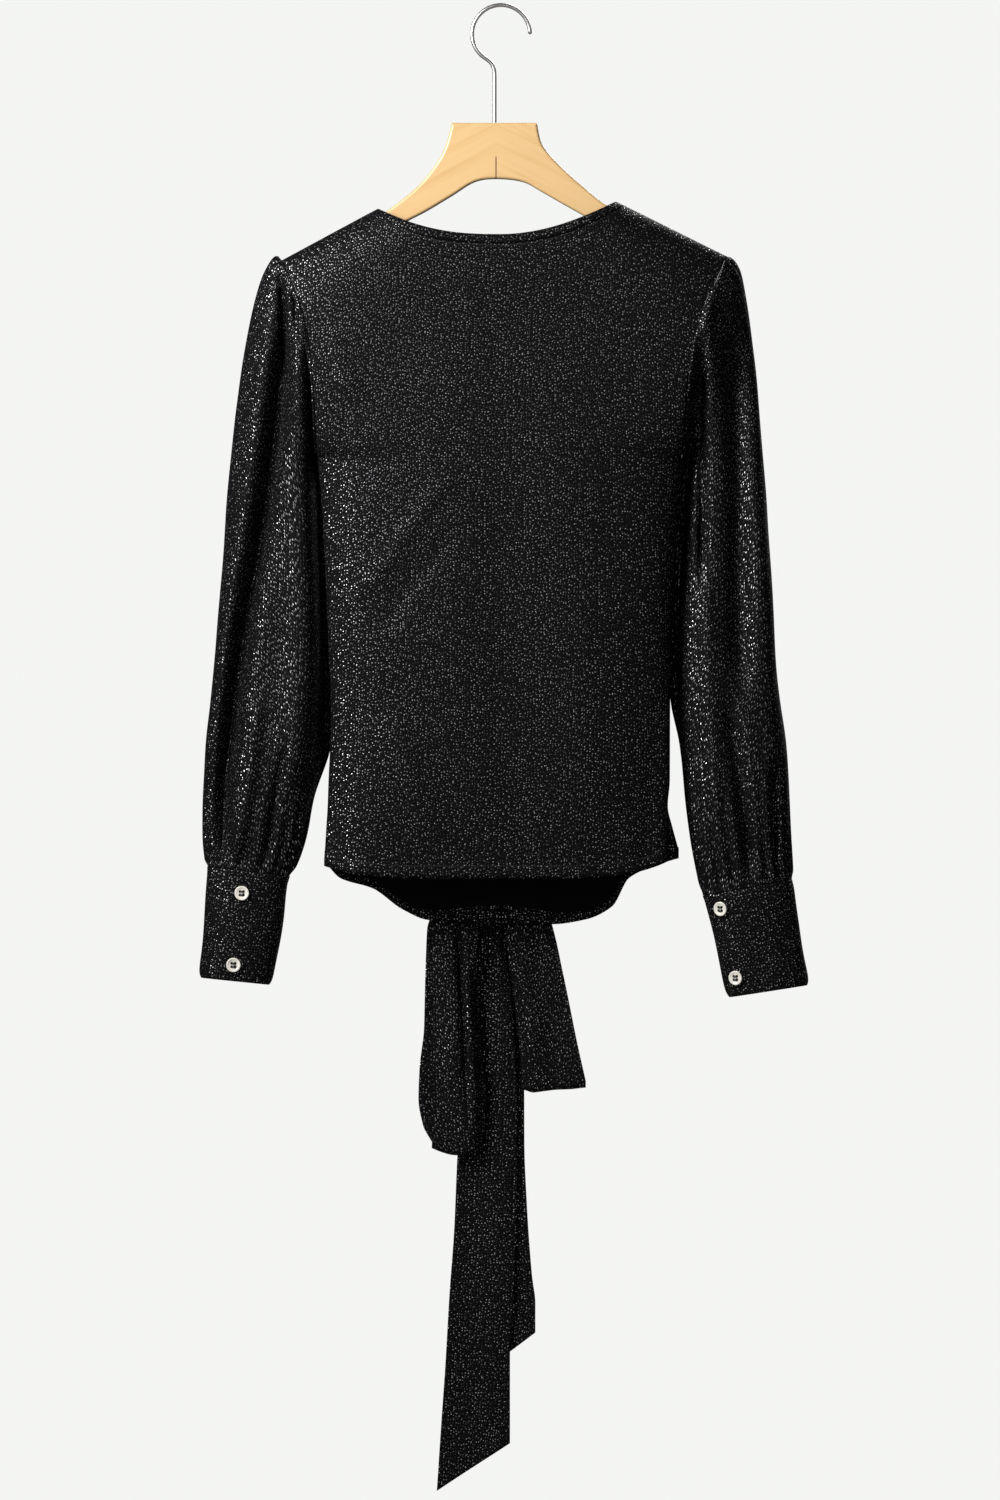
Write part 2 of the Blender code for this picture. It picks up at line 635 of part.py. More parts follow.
def ring_point(rows, run, turn, push=0.0):
    """A point on a tube's section, moved out by push."""
    outer = Vector((read(rows, "run", "outer_x", run), 0.0, read(rows, "run", "outer_z", run)))
    inner = Vector((read(rows, "run", "inner_x", run), 0.0, read(rows, "run", "inner_z", run)))
    along = (outer - inner) / 2
    deep = Vector((0.0, -read(rows, "run", "depth", run), 0.0))
    middle = (outer + inner) / 2 + Vector((0.0, read(rows, "run", "forward", run), 0.0))
    cosine, sine = math.cos(turn), math.sin(turn)
    power = 2 / SLEEVE_ROUNDNESS
    x_share = math.copysign(abs(cosine) ** power, cosine)
    y_share = math.copysign(abs(sine) ** power, sine)
    out = along.normalized() * cosine + deep.normalized() * sine
    return middle + along * x_share + deep * y_share + out * push


def whole_turn():
    """Turns all round a tube, the same over the front as over the back."""
    return TURNS + [2 * math.pi - turn for turn in reversed(TURNS[1:-1])]


def fold_push(folds, run, turn, line):
    """Lengthwise troughs, and gathers at the head and the wrist that rise on every second line."""
    push = 0.0
    for fold in folds:
        place = math.radians(mix(fold.place_head, fold.place_wrist, run))
        away = math.degrees(abs(math.remainder(turn - place, 2 * math.pi))) / fold.width
        middle = (fold.first + fold.last) / 2
        reach = (fold.last - fold.first) / 2
        length = max(0.0, 1 - ((run - middle) / reach) ** 2)
        push -= fold.sink * math.exp(-away * away) * math.sqrt(length)
    wave = -1 if line % 2 else 1
    head = ramp(run, *HEAD_RISES) * ramp(run, *HEAD_FADES)
    over = max(0.0, math.cos(turn))
    wrist = ramp(run, *WRIST_RISES)
    return push + wave * (HEAD_GATHER * head * over + WRIST_GATHER * wrist)


def make_sleeve(side, name, table, folds):
    slope = SLOPE_LEFT if side < 0 else SLOPE_RIGHT
    out = Vector((side, 0.0, 0.0))
    seam_ring, strip_ring, first_ring = [], [], []
    for turn in whole_turn():
        lower = smooth_step((math.pi / 2 - abs(math.pi - turn)) / (math.pi / 2))
        gap = SEAM + (WALL + SEAM) * math.sin(lower * math.pi / 2)
        seam_ring.append(armhole(side, turn) + out * gap)
        fall = mix(math.atan(slope), UNDERARM_FALL, lower)
        heading = Vector((side * math.cos(fall), 0.0, -math.sin(fall)))
        strip_ring.append(seam_ring[-1] + heading * SEAM_STRIP)
        first_ring.append(seam_ring[-1] - ring_point(table, 0.0, turn))
    rows = [seam_ring, strip_ring]
    for run in SLEEVE_RUNS:
        left_over = 1 - smooth_step(run / ARMHOLE_BLEND)
        ring = []
        for i, turn in enumerate(whole_turn()):
            push = fold_push(folds, run, turn, i)
            ring.append(ring_point(table, run, turn, push) + first_ring[i] * left_over)
        rows.append(ring)
    wrist = [ring_point(table, 1.0, turn) for turn in whole_turn()]
    middle = sum(wrist, Vector()) / len(wrist)
    across = wrist[0] - middle
    up = Vector((-across.z, 0.0, across.x)).normalized()
    up *= math.copysign(SEAM_STRIP, up.z)
    rows.append([point + up for point in wrist])
    rows.append(wrist)
    cloth(name, rows, closed=True)


def make_cuff(name, table):
    rows = []
    for ring in range(CUFF_RINGS):
        run = ring / (CUFF_RINGS - 1)
        turns = [2 * math.pi * i / CUFF_SIDES for i in range(CUFF_SIDES)]
        rows.append([ring_point(table, run, turn) for turn in turns])
    cloth(name, rows, DOUBLE_WALL, closed=True)


# Buttons.


def make_button(row):
    """A turned disc with a dished face, drilled with four holes and set on its cuff."""
    table = CUFF_LEFT if row.cuff == "left" else CUFF_RIGHT
    turn = math.radians(row.turn)
    step = 0.02
    place = ring_point(table, row.run, turn)
    along = ring_point(table, row.run + step, turn) - ring_point(table, row.run - step, turn)
    round_it = ring_point(table, row.run, turn + step) - ring_point(table, row.run, turn - step)
    out = along.cross(round_it).normalized()
    out *= -math.copysign(1.0, out.y)
    top, dish = BUTTON_THICK, BUTTON_THICK - BUTTON_DISH
    inner = BUTTON_RADIUS - BUTTON_RIM
    bevel = BUTTON_THICK / 4
    profile = [
        (0.0, dish),
        (inner - bevel, dish),
        (inner, top),
        (BUTTON_RADIUS - bevel, top),
        (BUTTON_RADIUS, top - bevel),
        (BUTTON_RADIUS, bevel),
        (BUTTON_RADIUS - bevel, 0.0),
        (0.0, 0.0),
    ]
    data = bpy.data.meshes.new(row.name)
    edges = [(i, i + 1) for i in range(len(profile) - 1)]
    data.from_pydata([(x, 0.0, z) for x, z in profile], edges, [])
    button = add_object(row.name, data, PEARL)
    turned = button.modifiers.new("turned", "SCREW")
    turned.steps = turned.render_steps = BUTTON_STEPS
    turned.use_merge_vertices = True
    turned.merge_threshold = 0.00001
    for quarter in range(4):
        angle = math.pi / 4 + quarter * math.pi / 2
        bit = bmesh.new()
        bmesh.ops.create_cone(
            bit,
            cap_ends=True,
            segments=HOLE_SIDES,
            radius1=HOLE_RADIUS,
            radius2=HOLE_RADIUS,
            depth=BUTTON_THICK * 3,
        )
        shift = Vector((math.cos(angle), math.sin(angle), 0.0)) * HOLE_SPREAD
        bmesh.ops.translate(bit, verts=bit.verts, vec=shift)
        drill_data = bpy.data.meshes.new(f"{row.name}_drill_{quarter}")
        bit.to_mesh(drill_data)
        bit.free()
        drill = bpy.data.objects.new(drill_data.name, drill_data)
        cutters.objects.link(drill)
        drill.parent = button
        drill.hide_render = True
        drill.display_type = "WIRE"
        hole = button.modifiers.new(f"hole_{quarter}", "BOOLEAN")
        hole.object = drill
    button.location = place + out * (DOUBLE_WALL / 2 + SEAM)
    button.rotation_euler = out.to_track_quat("Z", "Y").to_euler()


# The bow.


def make_knot():
    """A soft squarish lump, creased where the sash wraps round it."""
    mesh = bmesh.new()
    bmesh.ops.create_uvsphere(mesh, u_segments=16, v_segments=10, radius=1.0)
    for vert in mesh.verts:
        wave = math.cos(KNOT_WAVES * math.atan2(vert.co.z, vert.co.x))
        crease = 1 - KNOT_CREASE * wave**2
        for axis in range(3):
            value = vert.co[axis]
            stretched = math.copysign(abs(value) ** KNOT_SQUARENESS, value)
            vert.co[axis] = KNOT_CENTRE[axis] + KNOT_HALF[axis] * stretched * crease
    data = bpy.data.meshes.new("knot")
    mesh.to_mesh(data)
    mesh.free()
    data.shade_smooth()
    add_object("knot", data, KNIT)


def strip_row(row, layer, columns=STRIP_COLUMNS):
    """Points across a strip, with a soft ripple from front to back."""
    points = []
    for i in range(columns + 1):
        share = i / columns
        ripple = RIPPLE * math.sin(2 * math.pi * share)
        points.append(
            Vector(
                (
                    mix(row.outer_x, row.inner_x, share),
                    getattr(row, layer) + ripple,
                    mix(row.outer_z, row.inner_z, share),
                )
            )
        )
    return points


def make_loop(name, table, sag):
    """A strip that goes down from the knot, turns under and comes back up."""
    near = [strip_row(row, "near") for row in table]
    far = [strip_row(row, "far") for row in table]
    for layer in (near, far):
        for number, points in enumerate(layer):
            low = ramp(number / (len(layer) - 1), SAG_STARTS, 1.0)
            for i, point in enumerate(points):
                point.z -= sag * low * math.sin(math.pi * i / STRIP_COLUMNS)
    turn_under = []
    for step in range(1, FOLD_STEPS):
        angle = math.pi * step / FOLD_STEPS
        points = []
        for start, end in zip(near[-1], far[-1]):
            radius = (end.y - start.y) / 2
            swing = Vector((0.0, -radius * math.cos(angle), -radius * math.sin(angle)))
            points.append((start + end) / 2 + swing)
        turn_under.append(points)
    cloth(name, near + turn_under + far[::-1], DOUBLE_WALL)


def make_tail(name, table):
    cloth(name, [strip_row(row, "near") for row in table], DOUBLE_WALL)


# Hanger.


def wood_outline():
    """The board's outline, clockwise from its left end. Its arms lie under the shoulder seams."""

    def arm_top(x):
        return shoulder_line(x) - WOOD_CLEAR

    def arm(end, inner_row, lower_row):
        side = math.copysign(1.0, end)
        rest = side * ARM_REST
        top = [Vector((x, arm_top(x))) for x in (rest, mix(rest, end, 0.5), end - side * ARM_TIP_TOP)]
        tip = Vector((end, arm_top(end) - ARM_END_THICK * ARM_TIP))
        bottom = Vector((end - side * ARM_TIP_BOTTOM, arm_top(end) - ARM_END_THICK))
        middle_x = (lower_row.x + end) / 2
        middle = Vector((middle_x, (lower_row.height + bottom.y) / 2 - ARM_BELLY))
        dip_x = (inner_row.x + rest) / 2
        dip = Vector((dip_x, (inner_row.height + arm_top(rest)) / 2 - ARM_DIP))
        return [dip] + top + [tip, bottom, middle]

    left = arm(ARM_END_LEFT, WOOD_TOP[0], WOOD_BOTTOM[-1])
    right = arm(ARM_END_RIGHT, WOOD_TOP[-1], WOOD_BOTTOM[0])
    upper = [Vector((row.x, row.height)) for row in WOOD_TOP]
    lower = [Vector((row.x, row.height)) for row in WOOD_BOTTOM]
    return left[::-1] + upper + right + lower


def make_hanger_wood():
    """The board, with its edges rounded and a bore for the hook's wire."""
    outline = bpy.data.curves.new("hanger_outline", "CURVE")
    outline.dimensions = "2D"
    outline.fill_mode = "BOTH"
    outline.extrude = WOOD_THICK / 2 - WOOD_EDGE
    outline.bevel_depth = WOOD_EDGE
    outline.bevel_resolution = 1
    outline.offset = -WOOD_EDGE
    points = wood_outline()
    line = outline.splines.new("POLY")
    line.points.add(len(points) - 1)
    for target, point in zip(line.points, points):
        target.co = (point.x, point.y, 0.0, 1.0)
    line.use_cyclic_u = True
    board = bpy.data.objects.new("hanger_outline", outline)
    cutters.objects.link(board)
    board.rotation_euler = (math.pi / 2, 0.0, 0.0)
    bpy.context.view_layer.update()
    graph = bpy.context.evaluated_depsgraph_get()
    data = bpy.data.meshes.new_from_object(board.evaluated_get(graph))
    place = board.matrix_world.copy()
    bpy.data.objects.remove(board)
    mesh = bmesh.new()
    mesh.from_mesh(data)
    bmesh.ops.remove_doubles(mesh, verts=mesh.verts, dist=0.00001)
    mesh.to_mesh(data)
    mesh.free()
    data.name = "hanger_wood"
    data.materials.clear()
    wood = add_object("hanger_wood", data, WOOD)
    wood.matrix_world = place
    bit = bmesh.new()
    bore_radius = WIRE + SEAM
    bmesh.ops.create_cone(
        bit,
        cap_ends=True,
        segments=12,
        radius1=bore_radius,
        radius2=bore_radius,
        depth=2 * (WIRE_IN_WOOD + SEAM),
    )
    drill_data = bpy.data.meshes.new("hanger_drill")
    bit.to_mesh(drill_data)
    bit.free()
    drill = bpy.data.objects.new("hanger_drill", drill_data)
    cutters.objects.link(drill)
    drill.location = (HANGER_MIDDLE, 0.0, BOARD_TOP)
    drill.hide_render = True
    drill.display_type = "WIRE"
    bore = wood.modifiers.new("bore", "BOOLEAN")
    bore.object = drill


def make_hanger_hook():
    """One steel wire: round the hook, back under it, and straight down into the wood."""
    middle = Vector((0.0, 0.0, WIRE - HOOK_RADIUS))
    points = []
    steps = round((HOOK_TURN_ANGLE - HOOK_TIP_ANGLE) / HOOK_STEP)
    for step in range(steps + 1):
        angle = math.radians(mix(HOOK_TIP_ANGLE, HOOK_TURN_ANGLE, step / steps))
        points.append(middle + Vector((math.cos(angle), 0.0, math.sin(angle))) * HOOK_RADIUS)
    start, end = points[-1], Vector((HANGER_MIDDLE, 0.0, HOOK_STEM_TOP))
    reach = (end - start).length * HOOK_BEND
    angle = math.radians(HOOK_TURN_ANGLE)
    leave = start + Vector((-math.sin(angle), 0.0, math.cos(angle))) * reach
    arrive = end + Vector((0.0, 0.0, reach))
    for step in range(1, BEND_STEPS + 1):
        t = step / BEND_STEPS
        curve = start * (1 - t) ** 3 + leave * 3 * t * (1 - t) ** 2
        points.append(curve + arrive * 3 * t * t * (1 - t) + end * t**3)
    points.append(Vector((HANGER_MIDDLE, 0.0, BOARD_TOP - WIRE_IN_WOOD)))
    wire = bpy.data.curves.new("hanger_hook", "CURVE")
    wire.dimensions = "3D"
    wire.bevel_depth = WIRE
    wire.bevel_resolution = 2
    wire.use_fill_caps = True
    line = wire.splines.new("POLY")
    line.points.add(len(points) - 1)
    for target, point in zip(line.points, points):
        target.co = (*point, 1.0)
    add_object("hanger_hook", wire, STEEL)


for old in list(bpy.data.objects):
    bpy.data.objects.remove(old)
blouse = bpy.data.collections.new("wrap_blouse")
cutters = bpy.data.collections.new("cutters")
bpy.context.scene.collection.children.link(blouse)
bpy.context.scene.collection.children.link(cutters)

make_back()
make_neckband_back()
make_front(-1, "front_left", LEFT_LINES)
make_front(1, "front_right", RIGHT_LINES)
make_neckband_front(-1, "neckband_left")
make_neckband_front(1, "neckband_right")
make_sash(-1, "sash_left")
make_sash(1, "sash_right")
make_sleeve(-1, "sleeve_left", SLEEVE_LEFT, FOLDS_LEFT)
make_sleeve(1, "sleeve_right", SLEEVE_RIGHT, FOLDS_RIGHT)
make_cuff("cuff_left", CUFF_LEFT)
make_cuff("cuff_right", CUFF_RIGHT)
for button_row in BUTTONS:
    make_button(button_row)
make_knot()
make_loop("loop_left", LOOP_LEFT, LOOP_SAG)
make_loop("loop_right", LOOP_RIGHT, 0.0)
make_tail("tail_long", TAIL_LONG)
make_tail("tail_short", TAIL_SHORT)
make_hanger_wood()
make_hanger_hook()
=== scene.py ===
"""A black glitter wrap blouse on a wooden hanger, hung up and seen from its back.

The blouse's back faces -Y and its front +Y, so the wearer's left is at -X. The frame's origin
is the inner top of the hanger's hook. All sizes are in metres.
"""

import math
from bisect import bisect_right
from collections import namedtuple

import bpy
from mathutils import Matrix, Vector, noise


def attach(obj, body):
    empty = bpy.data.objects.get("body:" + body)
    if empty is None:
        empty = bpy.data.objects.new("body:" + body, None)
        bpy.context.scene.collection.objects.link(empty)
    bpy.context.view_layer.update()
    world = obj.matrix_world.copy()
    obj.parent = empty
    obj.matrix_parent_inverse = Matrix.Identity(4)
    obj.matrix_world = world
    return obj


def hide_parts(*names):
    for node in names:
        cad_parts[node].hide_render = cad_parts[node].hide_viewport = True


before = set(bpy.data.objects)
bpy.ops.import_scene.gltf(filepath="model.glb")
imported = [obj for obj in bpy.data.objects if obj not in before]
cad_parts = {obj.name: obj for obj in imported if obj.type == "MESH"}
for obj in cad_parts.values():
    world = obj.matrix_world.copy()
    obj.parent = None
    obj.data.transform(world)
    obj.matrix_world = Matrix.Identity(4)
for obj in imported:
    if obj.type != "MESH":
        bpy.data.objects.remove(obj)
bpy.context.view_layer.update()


# The hanger's board. Two halves of beech are glued end to end at the middle, sawn out as one
# bow with a straight top, rounded along every edge and lacquered. The shoulders rest on it.

BOARD_HALF = 0.006
BOARD_ROUND = 0.0025
GLUE_LINE_X = -0.0044
GLUE_LINE_WIDE = 0.0004
Spot = namedtuple("Spot", "x z")
LEFT_SLOPE = [
    Spot(-0.1750, -0.2158), Spot(-0.1570, -0.2061), Spot(-0.1350, -0.1942), Spot(-0.1177, -0.1884),
    Spot(-0.1003, -0.1795), Spot(-0.0766, -0.1610), Spot(-0.0616, -0.1443), Spot(-0.0502, -0.1258),
    Spot(-0.0431, -0.1021),
]
RIGHT_SLOPE = [
    Spot(0.0317, -0.1021), Spot(0.0361, -0.1206), Spot(0.0493, -0.1373), Spot(0.0695, -0.1558),
    Spot(0.0915, -0.1734), Spot(0.1133, -0.1830), Spot(0.1350, -0.1903), Spot(0.1600, -0.2027),
    Spot(0.1810, -0.2132),
]
UNDERSIDE = [
    Spot(0.1800, -0.2290), Spot(0.1425, -0.2164), Spot(0.1050, -0.2020), Spot(0.0748, -0.1848),
    Spot(0.0546, -0.1734), Spot(0.0361, -0.1628), Spot(0.0194, -0.1540), Spot(-0.0035, -0.1513),
    Spot(-0.0229, -0.1540), Spot(-0.0431, -0.1663), Spot(-0.0651, -0.1795), Spot(-0.0836, -0.1892),
    Spot(-0.1100, -0.2045), Spot(-0.1420, -0.2182), Spot(-0.1740, -0.2300),
]
GRAIN_ALONG = 9.0
GRAIN_STRETCH = (1.0, 160.0, 160.0)
GRAIN_LEAN = 0.5
GLUE_LINE_TOP = -0.131
HONEY = (0.535, 0.350, 0.160, 1.0)
HONEY_GRAIN = (0.470, 0.278, 0.109, 1.0)
GLUE_BROWN = (0.150, 0.072, 0.024, 1.0)


def start_finish(name, roughness, metallic=0.0):
    """A new material with its shader."""
    finish = bpy.data.materials.new(name)
    finish.use_nodes = True
    shader = finish.node_tree.nodes["Principled BSDF"]
    shader.inputs["Roughness"].default_value = roughness
    shader.inputs["Metallic"].default_value = metallic
    return finish, shader


def feed(finish, target, source):
    """Sets a socket to a value, or wires another socket into it."""
    if isinstance(source, bpy.types.NodeSocket):
        finish.node_tree.links.new(source, target)
    else:
        target.default_value = source


def add_step(finish, kind, feeds, **settings):
    step = finish.node_tree.nodes.new("ShaderNode" + kind)
    for key, value in settings.items():
        setattr(step, key, value)
    for key, source in feeds.items():
        feed(finish, step.inputs[key], source)
    return step


def reckon(finish, operation, first, second=0.0):
    return add_step(finish, "Math", {0: first, 1: second}, operation=operation).outputs[0]


def between(finish, share, low, high):
    """A share of 0 to 1 for a value between low and high, where low may be the larger."""
    feeds = {"Value": share, "From Min": low, "From Max": high}
    return add_step(finish, "MapRange", feeds, interpolation_type="SMOOTHSTEP").outputs[0]


def mix_colours(finish, share, first, second):
    mixed = add_step(finish, "Mix", {0: share, 6: first, 7: second}, data_type="RGBA")
    return mixed.outputs[2]


def place_in(finish):
    return add_step(finish, "TexCoord", {}).outputs["Object"]


def grain_in(finish, place, scale=1.0, detail=2.0, stretch=None):
    """Random grain through the piece, drawn out along its axes where a stretch is given."""
    if stretch:
        place = add_step(finish, "Mapping", {"Vector": place, "Scale": stretch}).outputs[0]
    return add_step(finish, "TexNoise", {"Vector": place, "Scale": scale, "Detail": detail}).outputs[0]


def bump_in(finish, height, strength, distance):
    feeds = {"Height": height, "Strength": strength, "Distance": distance}
    return add_step(finish, "Bump", feeds).outputs[0]


def beech_finish():
    """Lacquered beech. Its grain runs down each arm, and a thin glue line marks the middle."""
    beech, shader = start_finish("lacquered_beech", 0.38)
    shader.inputs["Coat Weight"].default_value = 0.25
    shader.inputs["Coat Roughness"].default_value = 0.2
    parts = add_step(beech, "SeparateXYZ", {0: place_in(beech)}).outputs
    off_middle = reckon(beech, "ABSOLUTE", reckon(beech, "SUBTRACT", parts["X"], GLUE_LINE_X))
    across = reckon(beech, "ADD", parts["Z"], reckon(beech, "MULTIPLY", off_middle, GRAIN_LEAN))
    along = reckon(beech, "MULTIPLY", parts["X"], GRAIN_ALONG)
    run = add_step(beech, "CombineXYZ", {"X": along, "Y": parts["Y"], "Z": across}).outputs[0]
    grain = grain_in(beech, run, detail=4.0, stretch=GRAIN_STRETCH)
    wood = mix_colours(beech, between(beech, grain, 0.42, 0.78), HONEY, HONEY_GRAIN)
    low_half = between(beech, parts["Z"], GLUE_LINE_TOP, GLUE_LINE_TOP - 0.002)
    thin = between(beech, off_middle, GLUE_LINE_WIDE * 2, GLUE_LINE_WIDE)
    glued = mix_colours(beech, reckon(beech, "MULTIPLY", low_half, thin), wood, GLUE_BROWN)
    feed(beech, shader.inputs["Base Color"], glued)
    feed(beech, shader.inputs["Normal"], bump_in(beech, grain, 0.15, 0.0004))
    return beech


def soften(spots, steps=6):
    """Points on a smooth line through spots, which keeps its two ends."""
    points = [Vector(spot) for spot in spots]
    line = []
    for i in range(len(points) - 1):
        before, start, end, after = (points[min(max(i + k, 0), len(points) - 1)] for k in (-1, 0, 1, 2))
        for step in range(steps):
            t = step / steps
            curve = 2 * start + (end - before) * t
            curve += (2 * before - 5 * start + 4 * end - after) * t * t
            curve += (3 * start - before - 3 * end + after) * t**3
            line.append(curve / 2)
    return line + [points[-1]]


def bring_in(name, data):
    """Puts a mesh, curve, light or camera into the scene."""
    made = bpy.data.objects.new(name, data)
    bpy.context.scene.collection.objects.link(made)
    return made


def draw_solid(name, points, widths=None, outline=False, **settings):
    """A mesh drawn along points as wire, or as an outline, which is closed and stood upright."""
    curve = bpy.data.curves.new(name, "CURVE")
    for key, value in settings.items():
        setattr(curve, key, value)
    line = curve.splines.new("POLY")
    line.points.add(len(points) - 1)
    for target, point, width in zip(line.points, points, widths or [1.0] * len(points)):
        target.co = (*point.to_3d(), 1.0)
        target.radius = width
    line.use_cyclic_u = outline
    drawn = bring_in(name, curve)
    drawn.rotation_euler.x = math.pi / 2 if outline else 0.0
    bpy.context.view_layer.update()
    graph = bpy.context.evaluated_depsgraph_get()
    data = bpy.data.meshes.new_from_object(drawn.evaluated_get(graph))
    data.name = name
    data.transform(drawn.matrix_world)
    bpy.data.objects.remove(drawn)
    return bring_in(name, data)


def coat(piece, finish):
    piece.data.materials.clear()
    piece.data.materials.append(finish)
    piece.data.shade_smooth()


def stand_for(piece, node):
    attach(piece, "root")
    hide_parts(node)


left_tip = [Spot(-0.1774, -0.2289), Spot(-0.1790, -0.2250), Spot(-0.1783, -0.2195)]
right_tip = [Spot(0.1843, -0.2168), Spot(0.1850, -0.2222), Spot(0.1834, -0.2272)]
around = soften(left_tip + LEFT_SLOPE) + soften(RIGHT_SLOPE + right_tip) + soften(UNDERSIDE)
board = draw_solid("hanger_board", around, outline=True, dimensions="2D", fill_mode="BOTH",
                   extrude=BOARD_HALF - BOARD_ROUND, bevel_depth=BOARD_ROUND,
                   bevel_resolution=5, offset=-BOARD_ROUND)
coat(board, beech_finish())
crisp_faces = board.modifiers.new("crisp_faces", "WEIGHTED_NORMAL")
crisp_faces.keep_sharp = True
stand_for(board, "hanger_wood")


# The hook. One length of satin nickel-plated steel wire, bent round, brought back under the
# rail and pushed down into the board. Its tip is rounded off.

WIRE_HALF = 0.00175
HOOK_HALF = 0.0255
HOOK_TIP = 3
HOOK_TURN = 238
STEM_X = -0.0057
STEM_TOP = -0.0640
STEM_END = -0.1201
HOOK_STEPS = 60
BEND_STEPS = 16
BEND_PULL = 0.45
NICKEL = (0.62, 0.61, 0.59, 1.0)


def nickel_finish():
    """Satin plate: a grey metal with faint streaks in its gloss."""
    nickel, shader = start_finish("satin_nickel", 0.28, 1.0)
    streaks = grain_in(nickel, place_in(nickel), 260.0)
    gloss = add_step(nickel, "MapRange", {"Value": streaks, "To Min": 0.2, "To Max": 0.4})
    feed(nickel, shader.inputs["Roughness"], gloss.outputs[0])
    feed(nickel, shader.inputs["Base Color"], NICKEL)
    return nickel


def make_hook():
    middle = Vector((0.0, 0.0, WIRE_HALF - HOOK_HALF))
    points = []
    for step in range(HOOK_STEPS + 1):
        angle = math.radians(HOOK_TIP + (HOOK_TURN - HOOK_TIP) * step / HOOK_STEPS)
        points.append(middle + Vector((math.cos(angle), 0.0, math.sin(angle))) * HOOK_HALF)
    start, end = points[-1], Vector((STEM_X, 0.0, STEM_TOP))
    reach = (end - start).length * BEND_PULL
    angle = math.radians(HOOK_TURN)
    leave = start + Vector((-math.sin(angle), 0.0, math.cos(angle))) * reach
    arrive = end + Vector((0.0, 0.0, reach))
    for step in range(1, BEND_STEPS + 1):
        t = step / BEND_STEPS
        bend = start * (1 - t) ** 3 + leave * 3 * t * (1 - t) ** 2
        points.append(bend + arrive * 3 * t * t * (1 - t) + end * t**3)
    points.append(Vector((STEM_X, 0.0, STEM_END)))
    tip_run = (points[0] - points[1]).normalized() * WIRE_HALF
    tip = [points[0] + tip_run, points[0] + tip_run * 0.7]
    return draw_solid("hanger_wire_hook", tip + points, [0.05, 0.72] + [1.0] * len(points),
                      dimensions="3D", bevel_depth=WIRE_HALF, bevel_resolution=6, use_fill_caps=True)


hook = make_hook()
coat(hook, nickel_finish())
stand_for(hook, "hanger_hook")


# The back. One piece of black jersey with silver glitter dots stuck to its right side, plain
# black on the wrong side. It hangs from the shoulder seams, and its hem is turned up and sewn.

KNIT_THICK = 0.0011
SEAM = 0.0003
BodyRow = namedtuple("BodyRow", "z left right back front")
BODY = [
    BodyRow(-0.2225, -0.1905, 0.1968, 0.030, 0.034),
    BodyRow(-0.2400, -0.1840, 0.1895, 0.031, 0.035),
    BodyRow(-0.2580, -0.1770, 0.1805, 0.031, 0.035),
    BodyRow(-0.2970, -0.1680, 0.1680, 0.032, 0.036),
    BodyRow(-0.3400, -0.1635, 0.1622, 0.033, 0.037),
    BodyRow(-0.3950, -0.1610, 0.1585, 0.033, 0.038),
    BodyRow(-0.4300, -0.1578, 0.1552, 0.033, 0.038),
    BodyRow(-0.4870, -0.1545, 0.1522, 0.032, 0.037),
    BodyRow(-0.5480, -0.1518, 0.1487, 0.031, 0.037),
    BodyRow(-0.6270, -0.1490, 0.1482, 0.028, 0.038),
    BodyRow(-0.6800, -0.1512, 0.1480, 0.026, 0.039),
    BodyRow(-0.7030, -0.1520, 0.1462, 0.025, 0.040),
    BodyRow(-0.7220, -0.1532, 0.1505, 0.024, 0.040),
    BodyRow(-0.7570, -0.1553, 0.1605, 0.022, 0.040),
]
BACK_CORNER_Z = -0.7030
BACK_CORNER_X = 0.1468
FULLNESS = 3.0
SIDE_FLAT = 0.003
SHOULDER_ROUND = 0.045
NECK_LEFT = Vector((-0.1082, 0.0, -0.1778))
NECK_RIGHT = Vector((0.1012, 0.0, -0.1716))
SLOPE_LEFT = 0.5395
SLOPE_RIGHT = 0.4969
NECK_LOW = -0.2020
NECK_BEND_LEFT = 2.6
NECK_BEND_RIGHT = 1.9
BAND = 0.0070
BAND_ON_SHOULDER = 0.0062
UNDERARM = -0.3950
ARMHOLE_HALF = 0.0260
UNDERARM_BLEND = 0.090
ARMHOLE_STEPS = 44
SIDE_STEPS = 84
BACK_HEM = -0.7667
BACK_HEM_RISE_LEFT = 0.0110
BACK_HEM_RISE_RIGHT = 0.0152
HEM_STITCH = 0.0110
BAND_STITCH = 0.0018
SHOULDER_COLUMNS = [
    1.0, 0.9999, 0.995, 0.985, 0.97, 0.95, 0.925, 0.895, 0.86, 0.82, 0.78, 0.74, 0.70, 0.66,
]

# A row for each fold: where its line stands at four even heights, its width and how far it rises.
Fold = namedtuple("Fold", "z_top z_low x_top x_upper x_lower x_low width rise")
BACK_FOLDS = [
    Fold(-0.405, -0.530, -0.040, -0.070, -0.100, -0.132, 0.010, 0.0018),
    Fold(-0.450, -0.560, -0.030, -0.062, -0.090, -0.115, 0.011, -0.0013),
    Fold(-0.610, -0.750, -0.104, -0.088, -0.070, -0.050, 0.011, 0.0020),
    Fold(-0.615, -0.785, -0.149, -0.147, -0.146, -0.147, 0.009, -0.0075),
    Fold(-0.285, -0.345, -0.152, -0.145, -0.136, -0.124, 0.008, 0.0024),
    Fold(-0.600, -0.775, 0.146, 0.142, 0.136, 0.130, 0.011, -0.0035),
    Fold(-0.350, -0.775, 0.060, 0.066, 0.070, 0.066, 0.030, 0.0016),
    Fold(-0.400, -0.775, 0.005, 0.000, 0.004, 0.012, 0.026, -0.0014),
]
FOLD_ENDS = 0.22
ROLL_SIZE = 14.0
ROLL_RISE = 0.0016
CALM_AT_SIDE = 0.16
